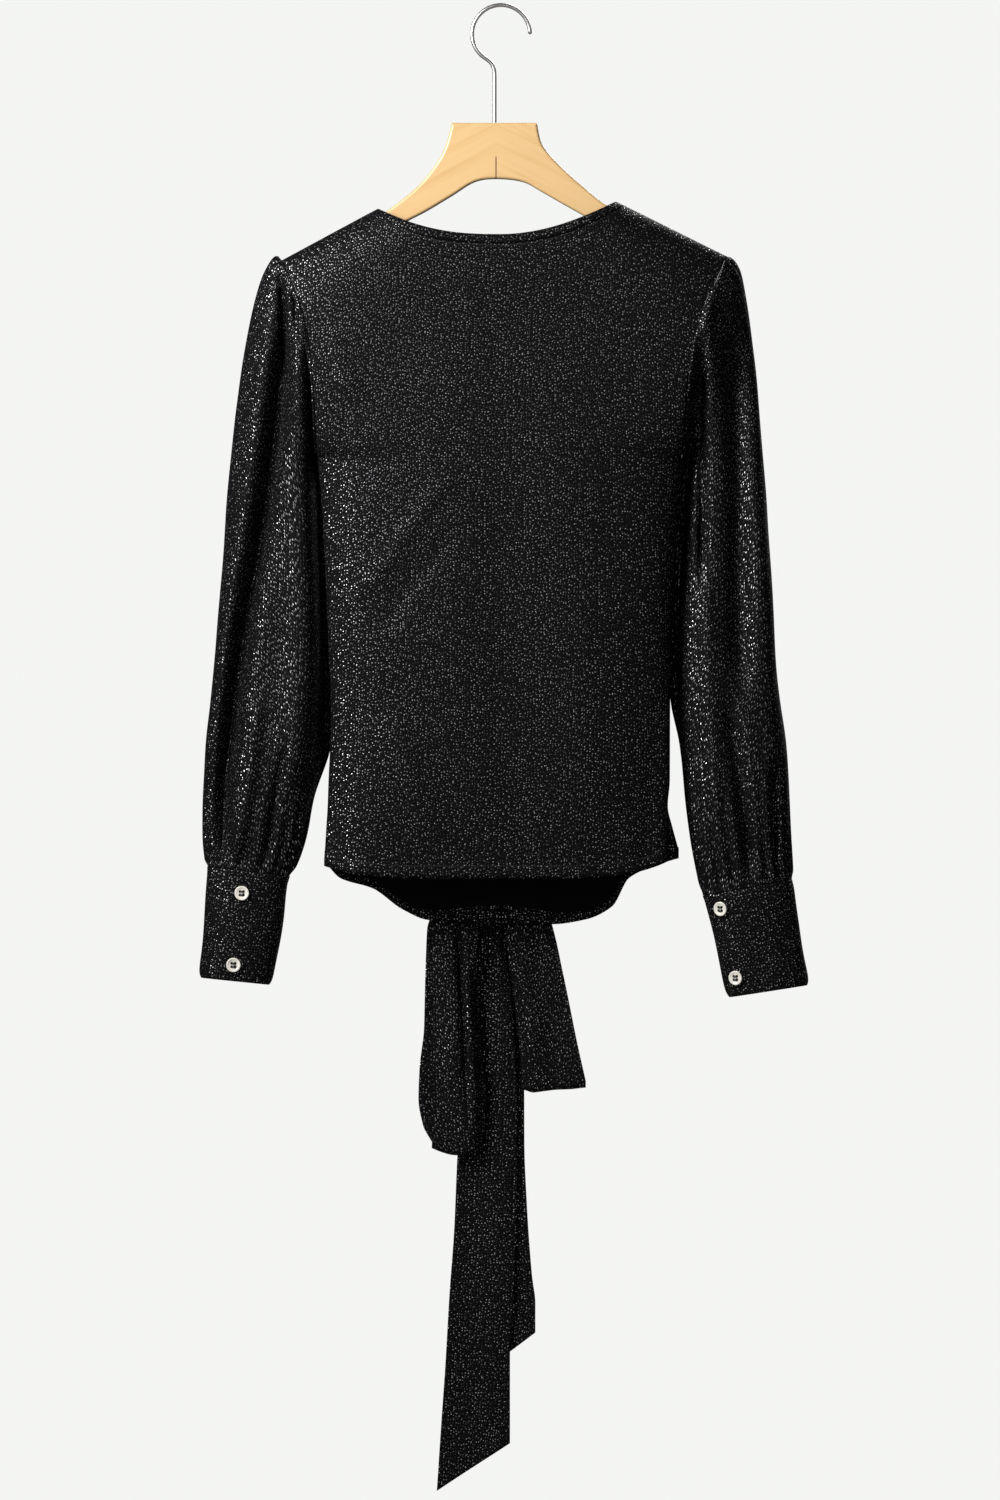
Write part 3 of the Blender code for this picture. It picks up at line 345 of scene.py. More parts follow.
CALM_AT_TOP = 0.020
CALM_BLEND = 0.09

JERSEY_BLACK = (0.0042, 0.0042, 0.0050, 1.0)
RIGHT_SIDE_BLACKS = (0.0015, 0.0015, 0.0018, 1.0), (0.0048, 0.0048, 0.0052, 1.0)
WRONG_SIDE_BLACKS = (0.0008, 0.0008, 0.0010, 1.0), (0.0022, 0.0022, 0.0026, 1.0)
STITCH_BLACK = (0.020, 0.020, 0.022, 1.0)
JERSEY_ROUGH = 0.6
RIGHT_SIDE_WALES = (2300.0, 2300.0, 900.0)
WRONG_SIDE_WALES = (2000.0, 2000.0, 1500.0)
SILVER = (0.86, 0.85, 0.83, 1.0)
DOTS_A_METRE = 400.0
DOT_SCATTER = 0.85
DOT_RADIUS = 0.158
DOT_EDGE = 0.035
DOT_EVENING = 9
DOT_RARITY = 3.2
DOT_DIMMEST = 0.04
DOT_ROUGH = 0.45
DOT_TILT = 0.50
STITCH_HALF = 0.0004
STITCH_RUN = 0.0028


def smooth_step(share):
    share = min(1.0, max(0.0, share))
    return share * share * (3.0 - 2.0 * share)


def mix(start, end, share):
    return start + (end - start) * share


def smooth_line(rows, key, column):
    """Reads a column of a table at any place between its rows, with no overshoot."""
    table = sorted((getattr(row, key), getattr(row, column)) for row in rows)
    keys = [key_value for key_value, _ in table]
    steps = [(v1 - v0) / (k1 - k0) for (k0, v0), (k1, v1) in zip(table, table[1:])]
    middle = [2 * a * b / (a + b) if a * b > 0 else 0.0 for a, b in zip(steps, steps[1:])]
    slopes = [steps[0], *middle, steps[-1]]

    def read(at):
        at = min(max(at, keys[0]), keys[-1])
        i = min(max(bisect_right(keys, at) - 1, 0), len(keys) - 2)
        (k0, v0), (k1, v1) = table[i], table[i + 1]
        width = k1 - k0
        t = (at - k0) / width
        rise = v0 * (1 + 2 * t) * (1 - t) ** 2 + v1 * t * t * (3 - 2 * t)
        return rise + width * t * (1 - t) * (slopes[i] * (1 - t) - slopes[i + 1] * t)

    return read


body_left = smooth_line(BODY, "z", "left")
body_right = smooth_line(BODY, "z", "right")
depth_at = {-1: smooth_line(BODY, "z", "back"), 1: smooth_line(BODY, "z", "front")}


def body_side(side, z, face=1):
    """Where the body ends at one side. The back's lower right corner stops short of the front's."""
    if side < 0:
        return body_left(z)
    if face < 0 and z < BACK_CORNER_Z:
        return min(body_right(z), BACK_CORNER_X)
    return body_right(z)


def shoulder_line(x):
    if x < 0:
        return NECK_LEFT.z + SLOPE_LEFT * (x - NECK_LEFT.x)
    return NECK_RIGHT.z - SLOPE_RIGHT * (x - NECK_RIGHT.x)


def armhole_point(side, turn):
    """A point on an armhole. turn runs from the shoulder over the back to the underarm."""
    top = shoulder_line(BODY[0].left if side < 0 else BODY[0].right)
    z = mix(UNDERARM, top, (1 + math.cos(turn)) / 2)
    return Vector((body_side(side, z), -ARMHOLE_HALF * math.sin(turn), z))


def armhole_gape(top, z):
    along = 2 * (z - UNDERARM) / (top - UNDERARM) - 1
    return ARMHOLE_HALF * math.sqrt(max(0.0, 1 - along * along))


def below_underarm(z):
    return smooth_step((UNDERARM + UNDERARM_BLEND - z) / UNDERARM_BLEND)


def fold_rise(folds, x, z):
    """How far the folds lift the cloth at a place in the front view."""
    rise = 0.0
    for fold in folds:
        t = (fold.z_top - z) / (fold.z_top - fold.z_low)
        if not 0 < t < 1:
            continue
        s = 3 * t
        line = -fold.x_top * (s - 1) * (s - 2) * (s - 3) / 6 + fold.x_upper * s * (s - 2) * (s - 3) / 2
        line += -fold.x_lower * s * (s - 1) * (s - 3) / 2 + fold.x_low * s * (s - 1) * (s - 2) / 6
        ends = smooth_step(t / FOLD_ENDS) * smooth_step((1 - t) / FOLD_ENDS)
        rise += fold.rise * ends * math.exp(-(((x - line) / fold.width) ** 2))
    return rise


def panel_point(x, z, face, folds, under=0.0):
    """A point on the back (face -1) or the front (face +1) at a place in the front view."""
    left, right = body_side(-1, z, face), body_side(1, z, face)
    across = min(1.0, max(-1.0, (x - (left + right) / 2) / ((right - left) / 2)))
    depth = depth_at[face](z)
    top = shoulder_line(mix(BODY[0].left, BODY[0].right, (across + 1) / 2))
    fall = min(1.0, max(0.0, (top - z) / SHOULDER_ROUND))
    depth *= math.sqrt(1 - (1 - fall) ** 2)
    share = below_underarm(z)
    edge = armhole_gape(top, z) + SIDE_FLAT * share
    swell = (1 - abs(across) ** FULLNESS) ** mix(1.0, 0.5, share)
    y = SEAM / 2 + edge + (depth - edge) * swell - under
    calm = smooth_step((1 - abs(across)) / CALM_AT_SIDE)
    calm *= smooth_step((top - z - CALM_AT_TOP) / CALM_BLEND)
    roll = ROLL_RISE * noise.noise(Vector((x * ROLL_SIZE, face, z * ROLL_SIZE * 0.5)))
    return Vector((x, face * (y + calm * (roll + fold_rise(folds, x, z))), z))


def side_heights(side, end):
    turns = [math.pi * step / ARMHOLE_STEPS for step in range(ARMHOLE_STEPS + 1)]
    down = [armhole_point(side, turn).z for turn in turns]
    return down + [mix(UNDERARM, end, step / SIDE_STEPS) for step in range(1, SIDE_STEPS + 1)]


def side_point(side, row, z, face):
    gape = ARMHOLE_HALF * math.sin(math.pi * row / ARMHOLE_STEPS) if row < ARMHOLE_STEPS else 0.0
    return Vector((body_side(side, z, -1), face * (SEAM / 2 + gape), z))


def glitter_finish():
    """The right side: fine black jersey, scattered with round silver dots that catch the light
    each at its own angle. Stitches are drawn where the sewn lines run."""
    jersey, shader = start_finish("glitter_jersey", JERSEY_ROUGH)
    shader.inputs["Specular IOR Level"].default_value = 0.025
    laid = add_step(jersey, "UVMap", {}, uv_map="cloth").outputs[0]
    dot_feeds = {"Vector": laid, "Scale": DOTS_A_METRE, "Randomness": DOT_SCATTER}
    dots = add_step(jersey, "TexVoronoi", dot_feeds, voronoi_dimensions="2D")
    dot = between(jersey, dots.outputs["Distance"], DOT_RADIUS + DOT_EDGE, DOT_RADIUS - DOT_EDGE)
    chance = add_step(jersey, "SeparateColor", {0: dots.outputs["Color"]}).outputs
    shine = {"Value": reckon(jersey, "POWER", chance[0], DOT_RARITY), "To Min": DOT_DIMMEST}
    bright = add_step(jersey, "MapRange", shine).outputs[0]
    silver = mix_colours(jersey, bright, JERSEY_BLACK, SILVER)
    knit = grain_in(jersey, place_in(jersey), detail=1.0, stretch=RIGHT_SIDE_WALES)
    cloth = mix_colours(jersey, dot, mix_colours(jersey, knit, *RIGHT_SIDE_BLACKS), silver)
    sewn = add_step(jersey, "UVMap", {}, uv_map="cut").outputs[0]
    cut = add_step(jersey, "SeparateXYZ", {0: sewn}).outputs
    off_line = reckon(jersey, "ABSOLUTE", cut["Y"])
    on_line = between(jersey, off_line, STITCH_HALF * 1.6, STITCH_HALF * 0.6)
    beat = reckon(jersey, "SINE", reckon(jersey, "MULTIPLY", cut["X"], 2 * math.pi / STITCH_RUN))
    stitch = reckon(jersey, "MULTIPLY", on_line, between(jersey, beat, -0.6, -0.2))
    feed(jersey, shader.inputs["Base Color"], mix_colours(jersey, stitch, cloth, STITCH_BLACK))
    shown = reckon(jersey, "MULTIPLY", dot, reckon(jersey, "SUBTRACT", 1.0, stitch))
    feed(jersey, shader.inputs["Metallic"], shown)
    rough = add_step(jersey, "MapRange", {"Value": shown, "To Min": JERSEY_ROUGH, "To Max": DOT_ROUGH})
    feed(jersey, shader.inputs["Roughness"], rough.outputs[0])
    raised = reckon(jersey, "MULTIPLY", stitch, 1.5)
    height = reckon(jersey, "ADD", reckon(jersey, "MULTIPLY", knit, 0.5), raised)

    def reckon_way(operation, feeds):
        return add_step(jersey, "VectorMath", feeds, operation=operation).outputs[0]

    lean = reckon_way("SUBTRACT", {0: dots.outputs["Color"], 1: (0.5, 0.5, 0.5)})
    swayed = reckon_way("SCALE", {0: reckon_way("SCALE", {0: lean, "Scale": DOT_TILT}), "Scale": shown})
    turned = reckon_way("ADD", {0: bump_in(jersey, height, 0.5, 0.0003), 1: swayed})
    feed(jersey, shader.inputs["Normal"], reckon_way("NORMALIZE", {0: turned}))
    return jersey


def wrong_side_finish():
    """The wrong side: the jersey's plain black back, with its fine knit."""
    plain, shader = start_finish("jersey_wrong_side", 0.8)
    shader.inputs["Specular IOR Level"].default_value = 0.06
    knit = grain_in(plain, place_in(plain), detail=1.0, stretch=WRONG_SIDE_WALES)
    feed(plain, shader.inputs["Base Color"], mix_colours(plain, knit, *WRONG_SIDE_BLACKS))
    feed(plain, shader.inputs["Normal"], bump_in(plain, knit, 0.4, 0.0002))
    return plain


glitter = glitter_finish()
wrong_side = wrong_side_finish()


def run_lengths(points):
    lengths = [0.0]
    for start, end in zip(points, points[1:]):
        lengths.append(lengths[-1] + (end - start).length)
    return lengths


def even_out(lengths, ring):
    """Averages each length with its neighbours', so that no fold draws the dots out."""
    last = len(lengths) - 1
    evened = []
    for i in range(last + 1):
        near = range(i - DOT_EVENING, i + DOT_EVENING + 1)
        beside = [lengths[j % last if ring else min(max(j, 0), last)] for j in near]
        evened.append([sum(values) / len(beside) for values in zip(*beside)])
    return evened


def stitch_gap(down, whole, hem_stitch, top_stitch):
    """Distance from a sewn line along the hem or the top edge, or far off where neither is near."""
    gaps = [1.0]
    if hem_stitch:
        gaps.append(whole - down - hem_stitch)
    if top_stitch:
        gaps.append(down - top_stitch)
    return min(gaps, key=abs)


def make_mesh(name, points, faces, **layers):
    """A mesh, with flat places for the corners of its faces in layers that a finish can read."""
    data = bpy.data.meshes.new(name)
    data.from_pydata(points, [], faces)
    for layer_name, places in layers.items():
        layer = data.uv_layers.new(name=layer_name)
        layer.data.foreach_set("uv", [value for place in places for value in place])
    return data


def sew_piece(name, node, rows, ring=False, turned=False,
              thick=KNIT_THICK, doubled=False, hem_stitch=0.0, top_stitch=0.0):
    """A piece of cloth laid through rows of points and given its thickness.

    The layer "cut" says how far along the cloth a corner is and how far off the nearest sewn
    line. The layer "cloth" says where it lies on the flat cloth, from the middle of its side.
    """
    if ring:
        rows = [[*row, row[0]] for row in rows]
    count = len(rows[0])
    kept = count - 1 if ring else count
    along = [run_lengths(row) for row in rows]
    down = [run_lengths(column) for column in zip(*rows)]
    across, fall = even_out(along, False), even_out(down, ring)
    faces, cut, laid, area = [], [], [], 0.0
    for r in range(len(rows) - 1):
        for c in range(count - 1):
            corners = [(r, c), (r + 1, c), (r + 1, c + 1), (r, c + 1)]
            spots = [rows[i][j] for i, j in corners]
            area += (spots[2] - spots[0]).cross(spots[3] - spots[1]).length / 2
            if turned:
                corners.reverse()
            faces.append([i * kept + j % kept for i, j in corners])
            middle = (count // 4 if c < count // 2 else 3 * count // 4) if ring else count // 2
            for i, j in corners:
                gap = stitch_gap(down[j][i], down[j][-1], hem_stitch, top_stitch)
                cut.append((along[i][j], gap))
                laid.append((across[i][j] - across[i][middle], fall[j][i]))
    points = [point for row in rows for point in row[:kept]]
    piece = bring_in(name, make_mesh(name, points, faces, cut=cut, cloth=laid))
    coat(piece, glitter)
    piece.data.materials.append(glitter if doubled else wrong_side)
    wall = piece.modifiers.new("thickness", "SOLIDIFY")
    wall.thickness = thick
    wall.offset = 0.0
    wall.material_offset = 1
    stand_for(piece, node)
    width = max(row[-1] for row in along)
    length = max(column[-1] for column in down)
    area = min(area, width * length)


def neck_point(share, width):
    """The back neck edge in the front view. share runs from -1 to 1, width across the band."""
    point, bend = (NECK_LEFT, NECK_BEND_LEFT) if share < 0 else (NECK_RIGHT, NECK_BEND_RIGHT)
    slope = SLOPE_LEFT if share < 0 else SLOPE_RIGHT
    reach = abs(share)
    x = reach * (point.x + math.copysign(BAND_ON_SHOULDER * width, point.x))
    z = NECK_LOW + (point.z - NECK_LOW) * reach**bend
    return x, z - width * mix(BAND, BAND_ON_SHOULDER * slope, reach**4)


def neck_shares(steps=36):
    return [math.sin(math.pi / 2 * step / steps) for step in range(-steps, steps + 1)]


def make_back():
    below = 1 + SEAM / BAND
    middle = (BODY[0].left + BODY[0].right) / 2
    half = (BODY[0].right - BODY[0].left) / 2
    neck = [(neck_point(share, below)[0] - middle) / half for share in neck_shares()]
    columns = [-place for place in SHOULDER_COLUMNS] + neck + SHOULDER_COLUMNS[::-1]

    def top_edge(across):
        x = mix(BODY[0].left, BODY[0].right, (across + 1) / 2)
        corner = abs(neck_point(-1 if x < 0 else 1, below)[0])
        return shoulder_line(x) if abs(x) >= corner - 1e-6 else neck_point(x / corner, below)[1]

    def low_edge(across):
        rise = BACK_HEM_RISE_LEFT if across < 0 else BACK_HEM_RISE_RIGHT
        return BACK_HEM + rise * abs(across) ** 5

    downs = [side_heights(side, low_edge(side)) for side in (-1, 1)]
    rows = []
    for row in range(len(downs[0])):
        passed = [(heights[row] - heights[0]) / (heights[-1] - heights[0]) for heights in downs]
        points = []
        for across in columns:
            z = mix(top_edge(across), low_edge(across), mix(*passed, (across + 1) / 2))
            if abs(across) == 1:
                points.append(side_point(int(across), row, z, -1))
                continue
            x = mix(body_side(-1, z, -1), body_side(1, z, -1), (across + 1) / 2)
            points.append(panel_point(x, z, -1, BACK_FOLDS))
        rows.append(points)
    sew_piece("blouse_back", "back", rows,
              hem_stitch=HEM_STITCH, top_stitch=BAND_STITCH)


make_back()


# The back of the neckband. A strip of the same jersey, folded over the neck's raw edge and
# sewn down, so it stands a little proud of the back.

BAND_CROWN = 0.0005
BAND_ROWS = 6
BAND_LAYER = 0.0007
BAND_APART = 0.0009
BAND_OVERLAP = 0.06


def crown(share):
    """How far a folded band swells at a share of the way across it."""
    return BAND_CROWN * (1 - (2 * share - 1) ** 4)


def band_profile():
    """The folded strip's section: up its inside, over the neck edge and down its outside."""
    inside = [(step / BAND_ROWS, -BAND_APART * 0.8) for step in range(BAND_ROWS, 0, -1)]
    fold = [(0.05, -BAND_APART * 0.7), (-0.03, 0.0), (0.05, BAND_APART * 0.7)]
    shares = [step / BAND_ROWS for step in range(1, BAND_ROWS + 1)]
    outside = [(share * (1 + BAND_OVERLAP), BAND_APART + crown(share)) for share in shares]
    return inside + fold + outside


rows = []
for width, out in band_profile():
    band_points = [panel_point(*neck_point(share, width), -1, BACK_FOLDS) for share in neck_shares()]
    rows.append([point - Vector((0.0, out, 0.0)) for point in band_points])
sew_piece("neckband_at_back", "neckband_back", rows,
          thick=BAND_LAYER, doubled=True)


# The two fronts. Each is cut in one with its side of the wrap, from the shoulder seam to the
# waist, in the same jersey. The wearer's right front lies over the left one.

HemRow = namedtuple("HemRow", "x z")
FRONT_HEM = [
    HemRow(-0.1553, -0.7515),
    HemRow(-0.1410, -0.7670),
    HemRow(-0.1130, -0.7760),
    HemRow(-0.0870, -0.7945),
    HemRow(-0.0640, -0.8040),
    HemRow(0.0000, -0.8070),
    HemRow(0.0450, -0.8078),
    HemRow(0.0750, -0.8035),
    HemRow(0.0980, -0.7920),
    HemRow(0.1126, -0.7670),
    HemRow(0.1350, -0.7560),
    HemRow(0.1605, -0.7480),
]
WRAP_END = 0.130
WRAP_BEND = 1.1
LAP = 0.0022
LAP_LEAD = 0.030
LAP_BLEND = 0.020
SASH_SIDE = 0.010
SASH_CENTRE = 0.019
SASH_SPREAD = 0.050
SASH_OVERLAP = 0.0030
UNDER_SHORT = 0.0015
FRONT_STEPS = 84
SEAM_COLUMNS = [0.0, 0.0003, 0.003, 0.009, 0.018, 0.03]
FRONT_FOLDS = [
    Fold(-0.300, -0.800, 0.110, 0.070, 0.030, 0.000, 0.012, 0.0030),
    Fold(-0.340, -0.800, 0.140, 0.100, 0.050, 0.010, 0.012, -0.0025),
    Fold(-0.420, -0.800, -0.130, -0.090, -0.050, -0.020, 0.012, 0.0032),
    Fold(-0.460, -0.800, -0.110, -0.075, -0.040, -0.012, 0.010, -0.0025),
    Fold(-0.560, -0.800, -0.142, -0.110, -0.070, -0.035, 0.010, 0.0028),
    Fold(-0.560, -0.800, 0.138, 0.100, 0.060, 0.020, 0.010, 0.0028),
    Fold(-0.250, -0.420, -0.125, -0.120, -0.110, -0.100, 0.014, 0.0020),
    Fold(-0.250, -0.420, 0.120, 0.125, 0.130, 0.125, 0.014, 0.0020),
]

front_hem = smooth_line(FRONT_HEM, "x", "z")


def sash_height(x):
    return SASH_SIDE + (SASH_CENTRE - SASH_SIDE) * math.exp(-((x / SASH_SPREAD) ** 2))


def front_end(x):
    return front_hem(x) + sash_height(x) - SASH_OVERLAP


def wrap_point(side, passed, width):
    """The wrap edge in the front view. width runs across its band, toward the panel."""
    neck, slope = (NECK_LEFT, SLOPE_LEFT) if side < 0 else (NECK_RIGHT, SLOPE_RIGHT)
    far = -side * WRAP_END
    x = mix(neck.x, far, passed**WRAP_BEND) + side * width * mix(BAND_ON_SHOULDER, BAND, passed)
    z = mix(neck.z, front_end(far), passed)
    return x, z - width * BAND_ON_SHOULDER * slope * (1 - passed) ** 6


def under_lap(side, x, z):
    """How far the left front dives where the right one covers it."""
    if side > 0:
        return 0.0
    passed = (z - NECK_RIGHT.z) / (front_end(-WRAP_END) - NECK_RIGHT.z)
    edge = wrap_point(1, min(1.0, max(0.0, passed)), 0.0)[0]
    return LAP * smooth_step((x - edge + LAP_LEAD) / LAP_BLEND)


def front_point(side, x, z):
    return panel_point(x, z, 1, FRONT_FOLDS, under_lap(side, x, z))


def make_front(side, name, node):
    below = 1 + SEAM / BAND
    low_edge_z = wrap_point(side, 1.0, below)[1]
    side_end = front_end(FRONT_HEM[0 if side < 0 else -1].x)
    short = UNDER_SHORT if side < 0 else 0.0
    heights = side_heights(side, side_end)
    shares = SEAM_COLUMNS + [0.045 + 0.955 * i / FRONT_STEPS for i in range(FRONT_STEPS + 1)]
    rows = []
    for row, height in enumerate(heights):
        passed = (height - heights[0]) / (heights[-1] - heights[0])
        seam = side_point(side, row, height, 1)
        side_x = body_side(side, height)
        edge_x, edge_z = wrap_point(side, passed, below)
        points = [seam]
        for column, share in enumerate(shares[1:], start=1):
            x = mix(side_x, edge_x, share)
            z = mix(seam.z, edge_z, share)
            low = front_end(x) + short * smooth_step(passed)
            z += passed**3 * (low - mix(side_end, low_edge_z, share))
            if column == 1:
                x, z = mix(x, side_x, below_underarm(height)), mix(z, seam.z, below_underarm(height))
            points.append(front_point(side, x, z))
        rows.append(points)
    sew_piece(name, node, rows, turned=side < 0)


make_front(-1, "under_front", "front_left")
make_front(1, "over_front", "front_right")


# The neckband down each wrap edge. The strip that goes round the neck carries on down both
# fronts to the waist, folded over the raw edge and sewn down.

BAND_STEPS = 110
BAND_BUNCH = 1.2
UNDER_BAND_OUT = 0.6
for side, name, node in ((-1, "neckband_under", "neckband_left"), (1, "neckband_over", "neckband_right")):
    rows = []
    for step in range(BAND_STEPS + 1):
        passed = (step / BAND_STEPS) ** BAND_BUNCH
        row = []
        for width, out in band_profile():
            point = front_point(side, *wrap_point(side, passed, width))
            row.append(point + Vector((0.0, out * (UNDER_BAND_OUT if side < 0 else 1.0), 0.0)))
        rows.append(row)
    sew_piece(name, node, rows, turned=side < 0,
              thick=BAND_LAYER, doubled=True)


# The sash. A doubled band of the jersey, sewn along the lower edge of both fronts. It draws
# them in at the waist and goes into the tie at the middle.

SASH_THICK = 0.0016
SASH_OUT = 0.0018
SASH_STEPS = 70
SASH_ROWS = 8
for side, name, node in ((-1, "sash_on_left", "sash_left"), (1, "sash_on_right", "sash_right")):
    low_side = body_side(side, front_end(FRONT_HEM[0 if side < 0 else -1].x))
    rows = []
    for step in range(SASH_ROWS + 1):
        share = 1 - step / SASH_ROWS
        seam_z = front_hem(low_side) + sash_height(low_side) * share
        row = [Vector((body_side(side, seam_z, -1), SEAM / 2, seam_z))]
        for column in range(SASH_STEPS + 1):
            x = mix(low_side, side * SEAM / 2, column / SASH_STEPS)
            z = front_hem(x) + sash_height(x) * share
            out = (SASH_OUT + crown(share)) * smooth_step(column / 4)
            row.append(panel_point(x, z, 1, FRONT_FOLDS) + Vector((0.0, out, 0.0)))
        rows.append(row)
    sew_piece(name, node, rows, turned=side < 0, thick=SASH_THICK,
              doubled=True)


# The sleeves. Each is cut wide from the same jersey, gathered over the top of the armhole,
# seamed under the arm and gathered again into its cuff. They hang a little flattened.

# A row for each level: its share of the way down, its depth and how far forward it hangs, then
# where its outer and its inner edge are, as x, z, x, z, on the left side and on the right side.
RingRow = namedtuple("RingRow", "run depth forward outer_x outer_z inner_x inner_z")
SLEEVES = [
    (0.00, 0.0260, 0.0000, (-0.1901, -0.2222, -0.1624, -0.3950), (0.1971, -0.2191, 0.1599, -0.3950)),
    (0.04, 0.0262, 0.0020, (-0.1972, -0.2204, -0.1619, -0.3990), (0.2030, -0.2228, 0.1594, -0.3990)),
    (0.08, 0.0265, 0.0055, (-0.2068, -0.2332, -0.1614, -0.4030), (0.2094, -0.2332, 0.1586, -0.4030)),
    (0.13, 0.0270, 0.0105, (-0.2156, -0.2578, -0.1600, -0.4080), (0.2147, -0.2578, 0.1574, -0.4080)),
    (0.19, 0.0275, 0.0160, (-0.2235, -0.2930, -0.1582, -0.4140), (0.2204, -0.2930, 0.1557, -0.4140)),
    (0.25, 0.0280, 0.0190, (-0.2297, -0.3282, -0.1570, -0.4210), (0.2253, -0.3282, 0.1546, -0.4210)),
    (0.31, 0.0280, 0.0200, (-0.2350, -0.3634, -0.1558, -0.4300), (0.2284, -0.3634, 0.1536, -0.4300)),
    (0.38, 0.0280, 0.0200, (-0.2389, -0.4030, -0.1548, -0.4440), (0.2314, -0.4030, 0.1523, -0.4440)),
    (0.46, 0.0280, 0.0200, (-0.2429, -0.4514, -0.1532, -0.4700), (0.2350, -0.4514, 0.1508, -0.4700)),
    (0.54, 0.0280, 0.0200, (-0.2460, -0.4998, -0.1513, -0.5080), (0.2385, -0.4998, 0.1490, -0.5080)),
    (0.62, 0.0280, 0.0200, (-0.2499, -0.5570, -0.1492, -0.5600), (0.2420, -0.5570, 0.1463, -0.5600)),
    (0.70, 0.0290, 0.0200, (-0.2556, -0.6098, -0.1474, -0.6100), (0.2468, -0.6098, 0.1500, -0.6100)),
    (0.78, 0.0290, 0.0200, (-0.2600, -0.6494, -0.1505, -0.6494), (0.2508, -0.6494, 0.1580, -0.6494)),
    (0.86, 0.0280, 0.0200, (-0.2622, -0.6978, -0.1660, -0.6978), (0.2534, -0.6978, 0.1632, -0.6978)),
    (0.92, 0.0265, 0.0200, (-0.2614, -0.7286, -0.1725, -0.7290), (0.2543, -0.7300, 0.1685, -0.7330)),
    (0.97, 0.0240, 0.0200, (-0.2596, -0.7480, -0.1810, -0.7540), (0.2554, -0.7560, 0.1750, -0.7660)),
    (1.00, 0.0230, 0.0200, (-0.2583, -0.7559, -0.1870, -0.7645), (0.2561, -0.7674, 0.1786, -0.7820)),
]
SLEEVE_START = 0.03
SLEEVE_END = 0.9975
UNDERARM_FALL = 80
ROUNDNESS = 2.3
SEAM_STRIP = 0.0025
ARMHOLE_BLEND = 0.16
SLEEVE_SIDES = 132
SLEEVE_RINGS = 150
HEAD_GATHERS = 34
HEAD_GATHER = 0.0014
HEAD_REACH = 0.24
WRIST_GATHERS = 19
WRIST_GATHER = 0.0024
WRIST_FROM = 0.78
GATHER_SHIFT = 1.5
GATHER_SHARPNESS = 1.4
CUFF_CALM_FROM = 0.985
CUFF_CALM_BLEND = 0.06
SLEEVE_ROLL = 0.0030
SLEEVE_ROLL_ACROSS = 30.0
SLEEVE_ROLL_DOWN = 9.0
FOLD_ROOM = 0.85

# A row for each fold of a sleeve's back: its line in the front view, its width and rise.
LEFT_BACK_FOLDS = [
    Fold(-0.226, -0.775, -0.1880, -0.2035, -0.2320, -0.2470, 0.0078, -0.0200),
    Fold(-0.232, -0.765, -0.1765, -0.1730, -0.1750, -0.1930, 0.0170, 0.0100),
    Fold(-0.232, -0.700, -0.2040, -0.2190, -0.2430, -0.2560, 0.0080, 0.0050),
    Fold(-0.255, -0.720, -0.1690, -0.1605, -0.1550, -0.1570, 0.0078, -0.0200),
    Fold(-0.228, -0.300, -0.1830, -0.1810, -0.1800, -0.1795, 0.0028, -0.0080),
    Fold(-0.226, -0.345, -0.1935, -0.1920, -0.1905, -0.1900, 0.0030, -0.0080),
    Fold(-0.640, -0.765, -0.1880, -0.1950, -0.2020, -0.2090, 0.0038, -0.0060),
    Fold(-0.680, -0.775, -0.2415, -0.2425, -0.2430, -0.2425, 0.0038, -0.0060),
    Fold(-0.600, -0.765, -0.2120, -0.2180, -0.2250, -0.2330, 0.0050, 0.0045),
]
RIGHT_BACK_FOLDS = [
    Fold(-0.240, -0.340, 0.1815, 0.1803, 0.1794, 0.1786, 0.0065, 0.0055),
    Fold(-0.275, -0.520, 0.1778, 0.1770, 0.1764, 0.1758, 0.0042, -0.0090),
    Fold(-0.250, -0.640, 0.2040, 0.2072, 0.2092, 0.2110, 0.0100, -0.0115),
    Fold(-0.380, -0.765, 0.2280, 0.2345, 0.2400, 0.2430, 0.0120, 0.0055),
    Fold(-0.600, -0.785, 0.1990, 0.2075, 0.2150, 0.2230, 0.0065, -0.0090),
    Fold(-0.480, -0.740, 0.1810, 0.1825, 0.1855, 0.1890, 0.0085, 0.0045),
    Fold(-0.236, -0.520, 0.2230, 0.2280, 0.2315, 0.2340, 0.0080, 0.0025),
    Fold(-0.650, -0.785, 0.2420, 0.2415, 0.2415, 0.2425, 0.0048, -0.0070),
    Fold(-0.270, -0.740, 0.1790, 0.1625, 0.1535, 0.1560, 0.0070, -0.0180),
]
LEFT_FRONT_FOLDS = [
    Fold(-0.232, -0.740, -0.2010, -0.2150, -0.2230, -0.2280, 0.0080, -0.0100),
    Fold(-0.260, -0.720, -0.1800, -0.1890, -0.1960, -0.2050, 0.0090, 0.0045),
    Fold(-0.430, -0.750, -0.1830, -0.1850, -0.1900, -0.1980, 0.0060, -0.0060),
    Fold(-0.280, -0.660, -0.2220, -0.2310, -0.2400, -0.2450, 0.0070, 0.0040),
]
RIGHT_FRONT_FOLDS = [
    Fold(-0.232, -0.750, 0.2040, 0.2110, 0.2190, 0.2260, 0.0080, -0.0100),
    Fold(-0.260, -0.730, 0.1800, 0.1860, 0.1920, 0.2010, 0.0090, 0.0045),
    Fold(-0.450, -0.760, 0.1800, 0.1820, 0.1890, 0.1980, 0.0060, -0.0060),
    Fold(-0.300, -0.680, 0.2220, 0.2280, 0.2350, 0.2400, 0.0070, 0.0040),
]


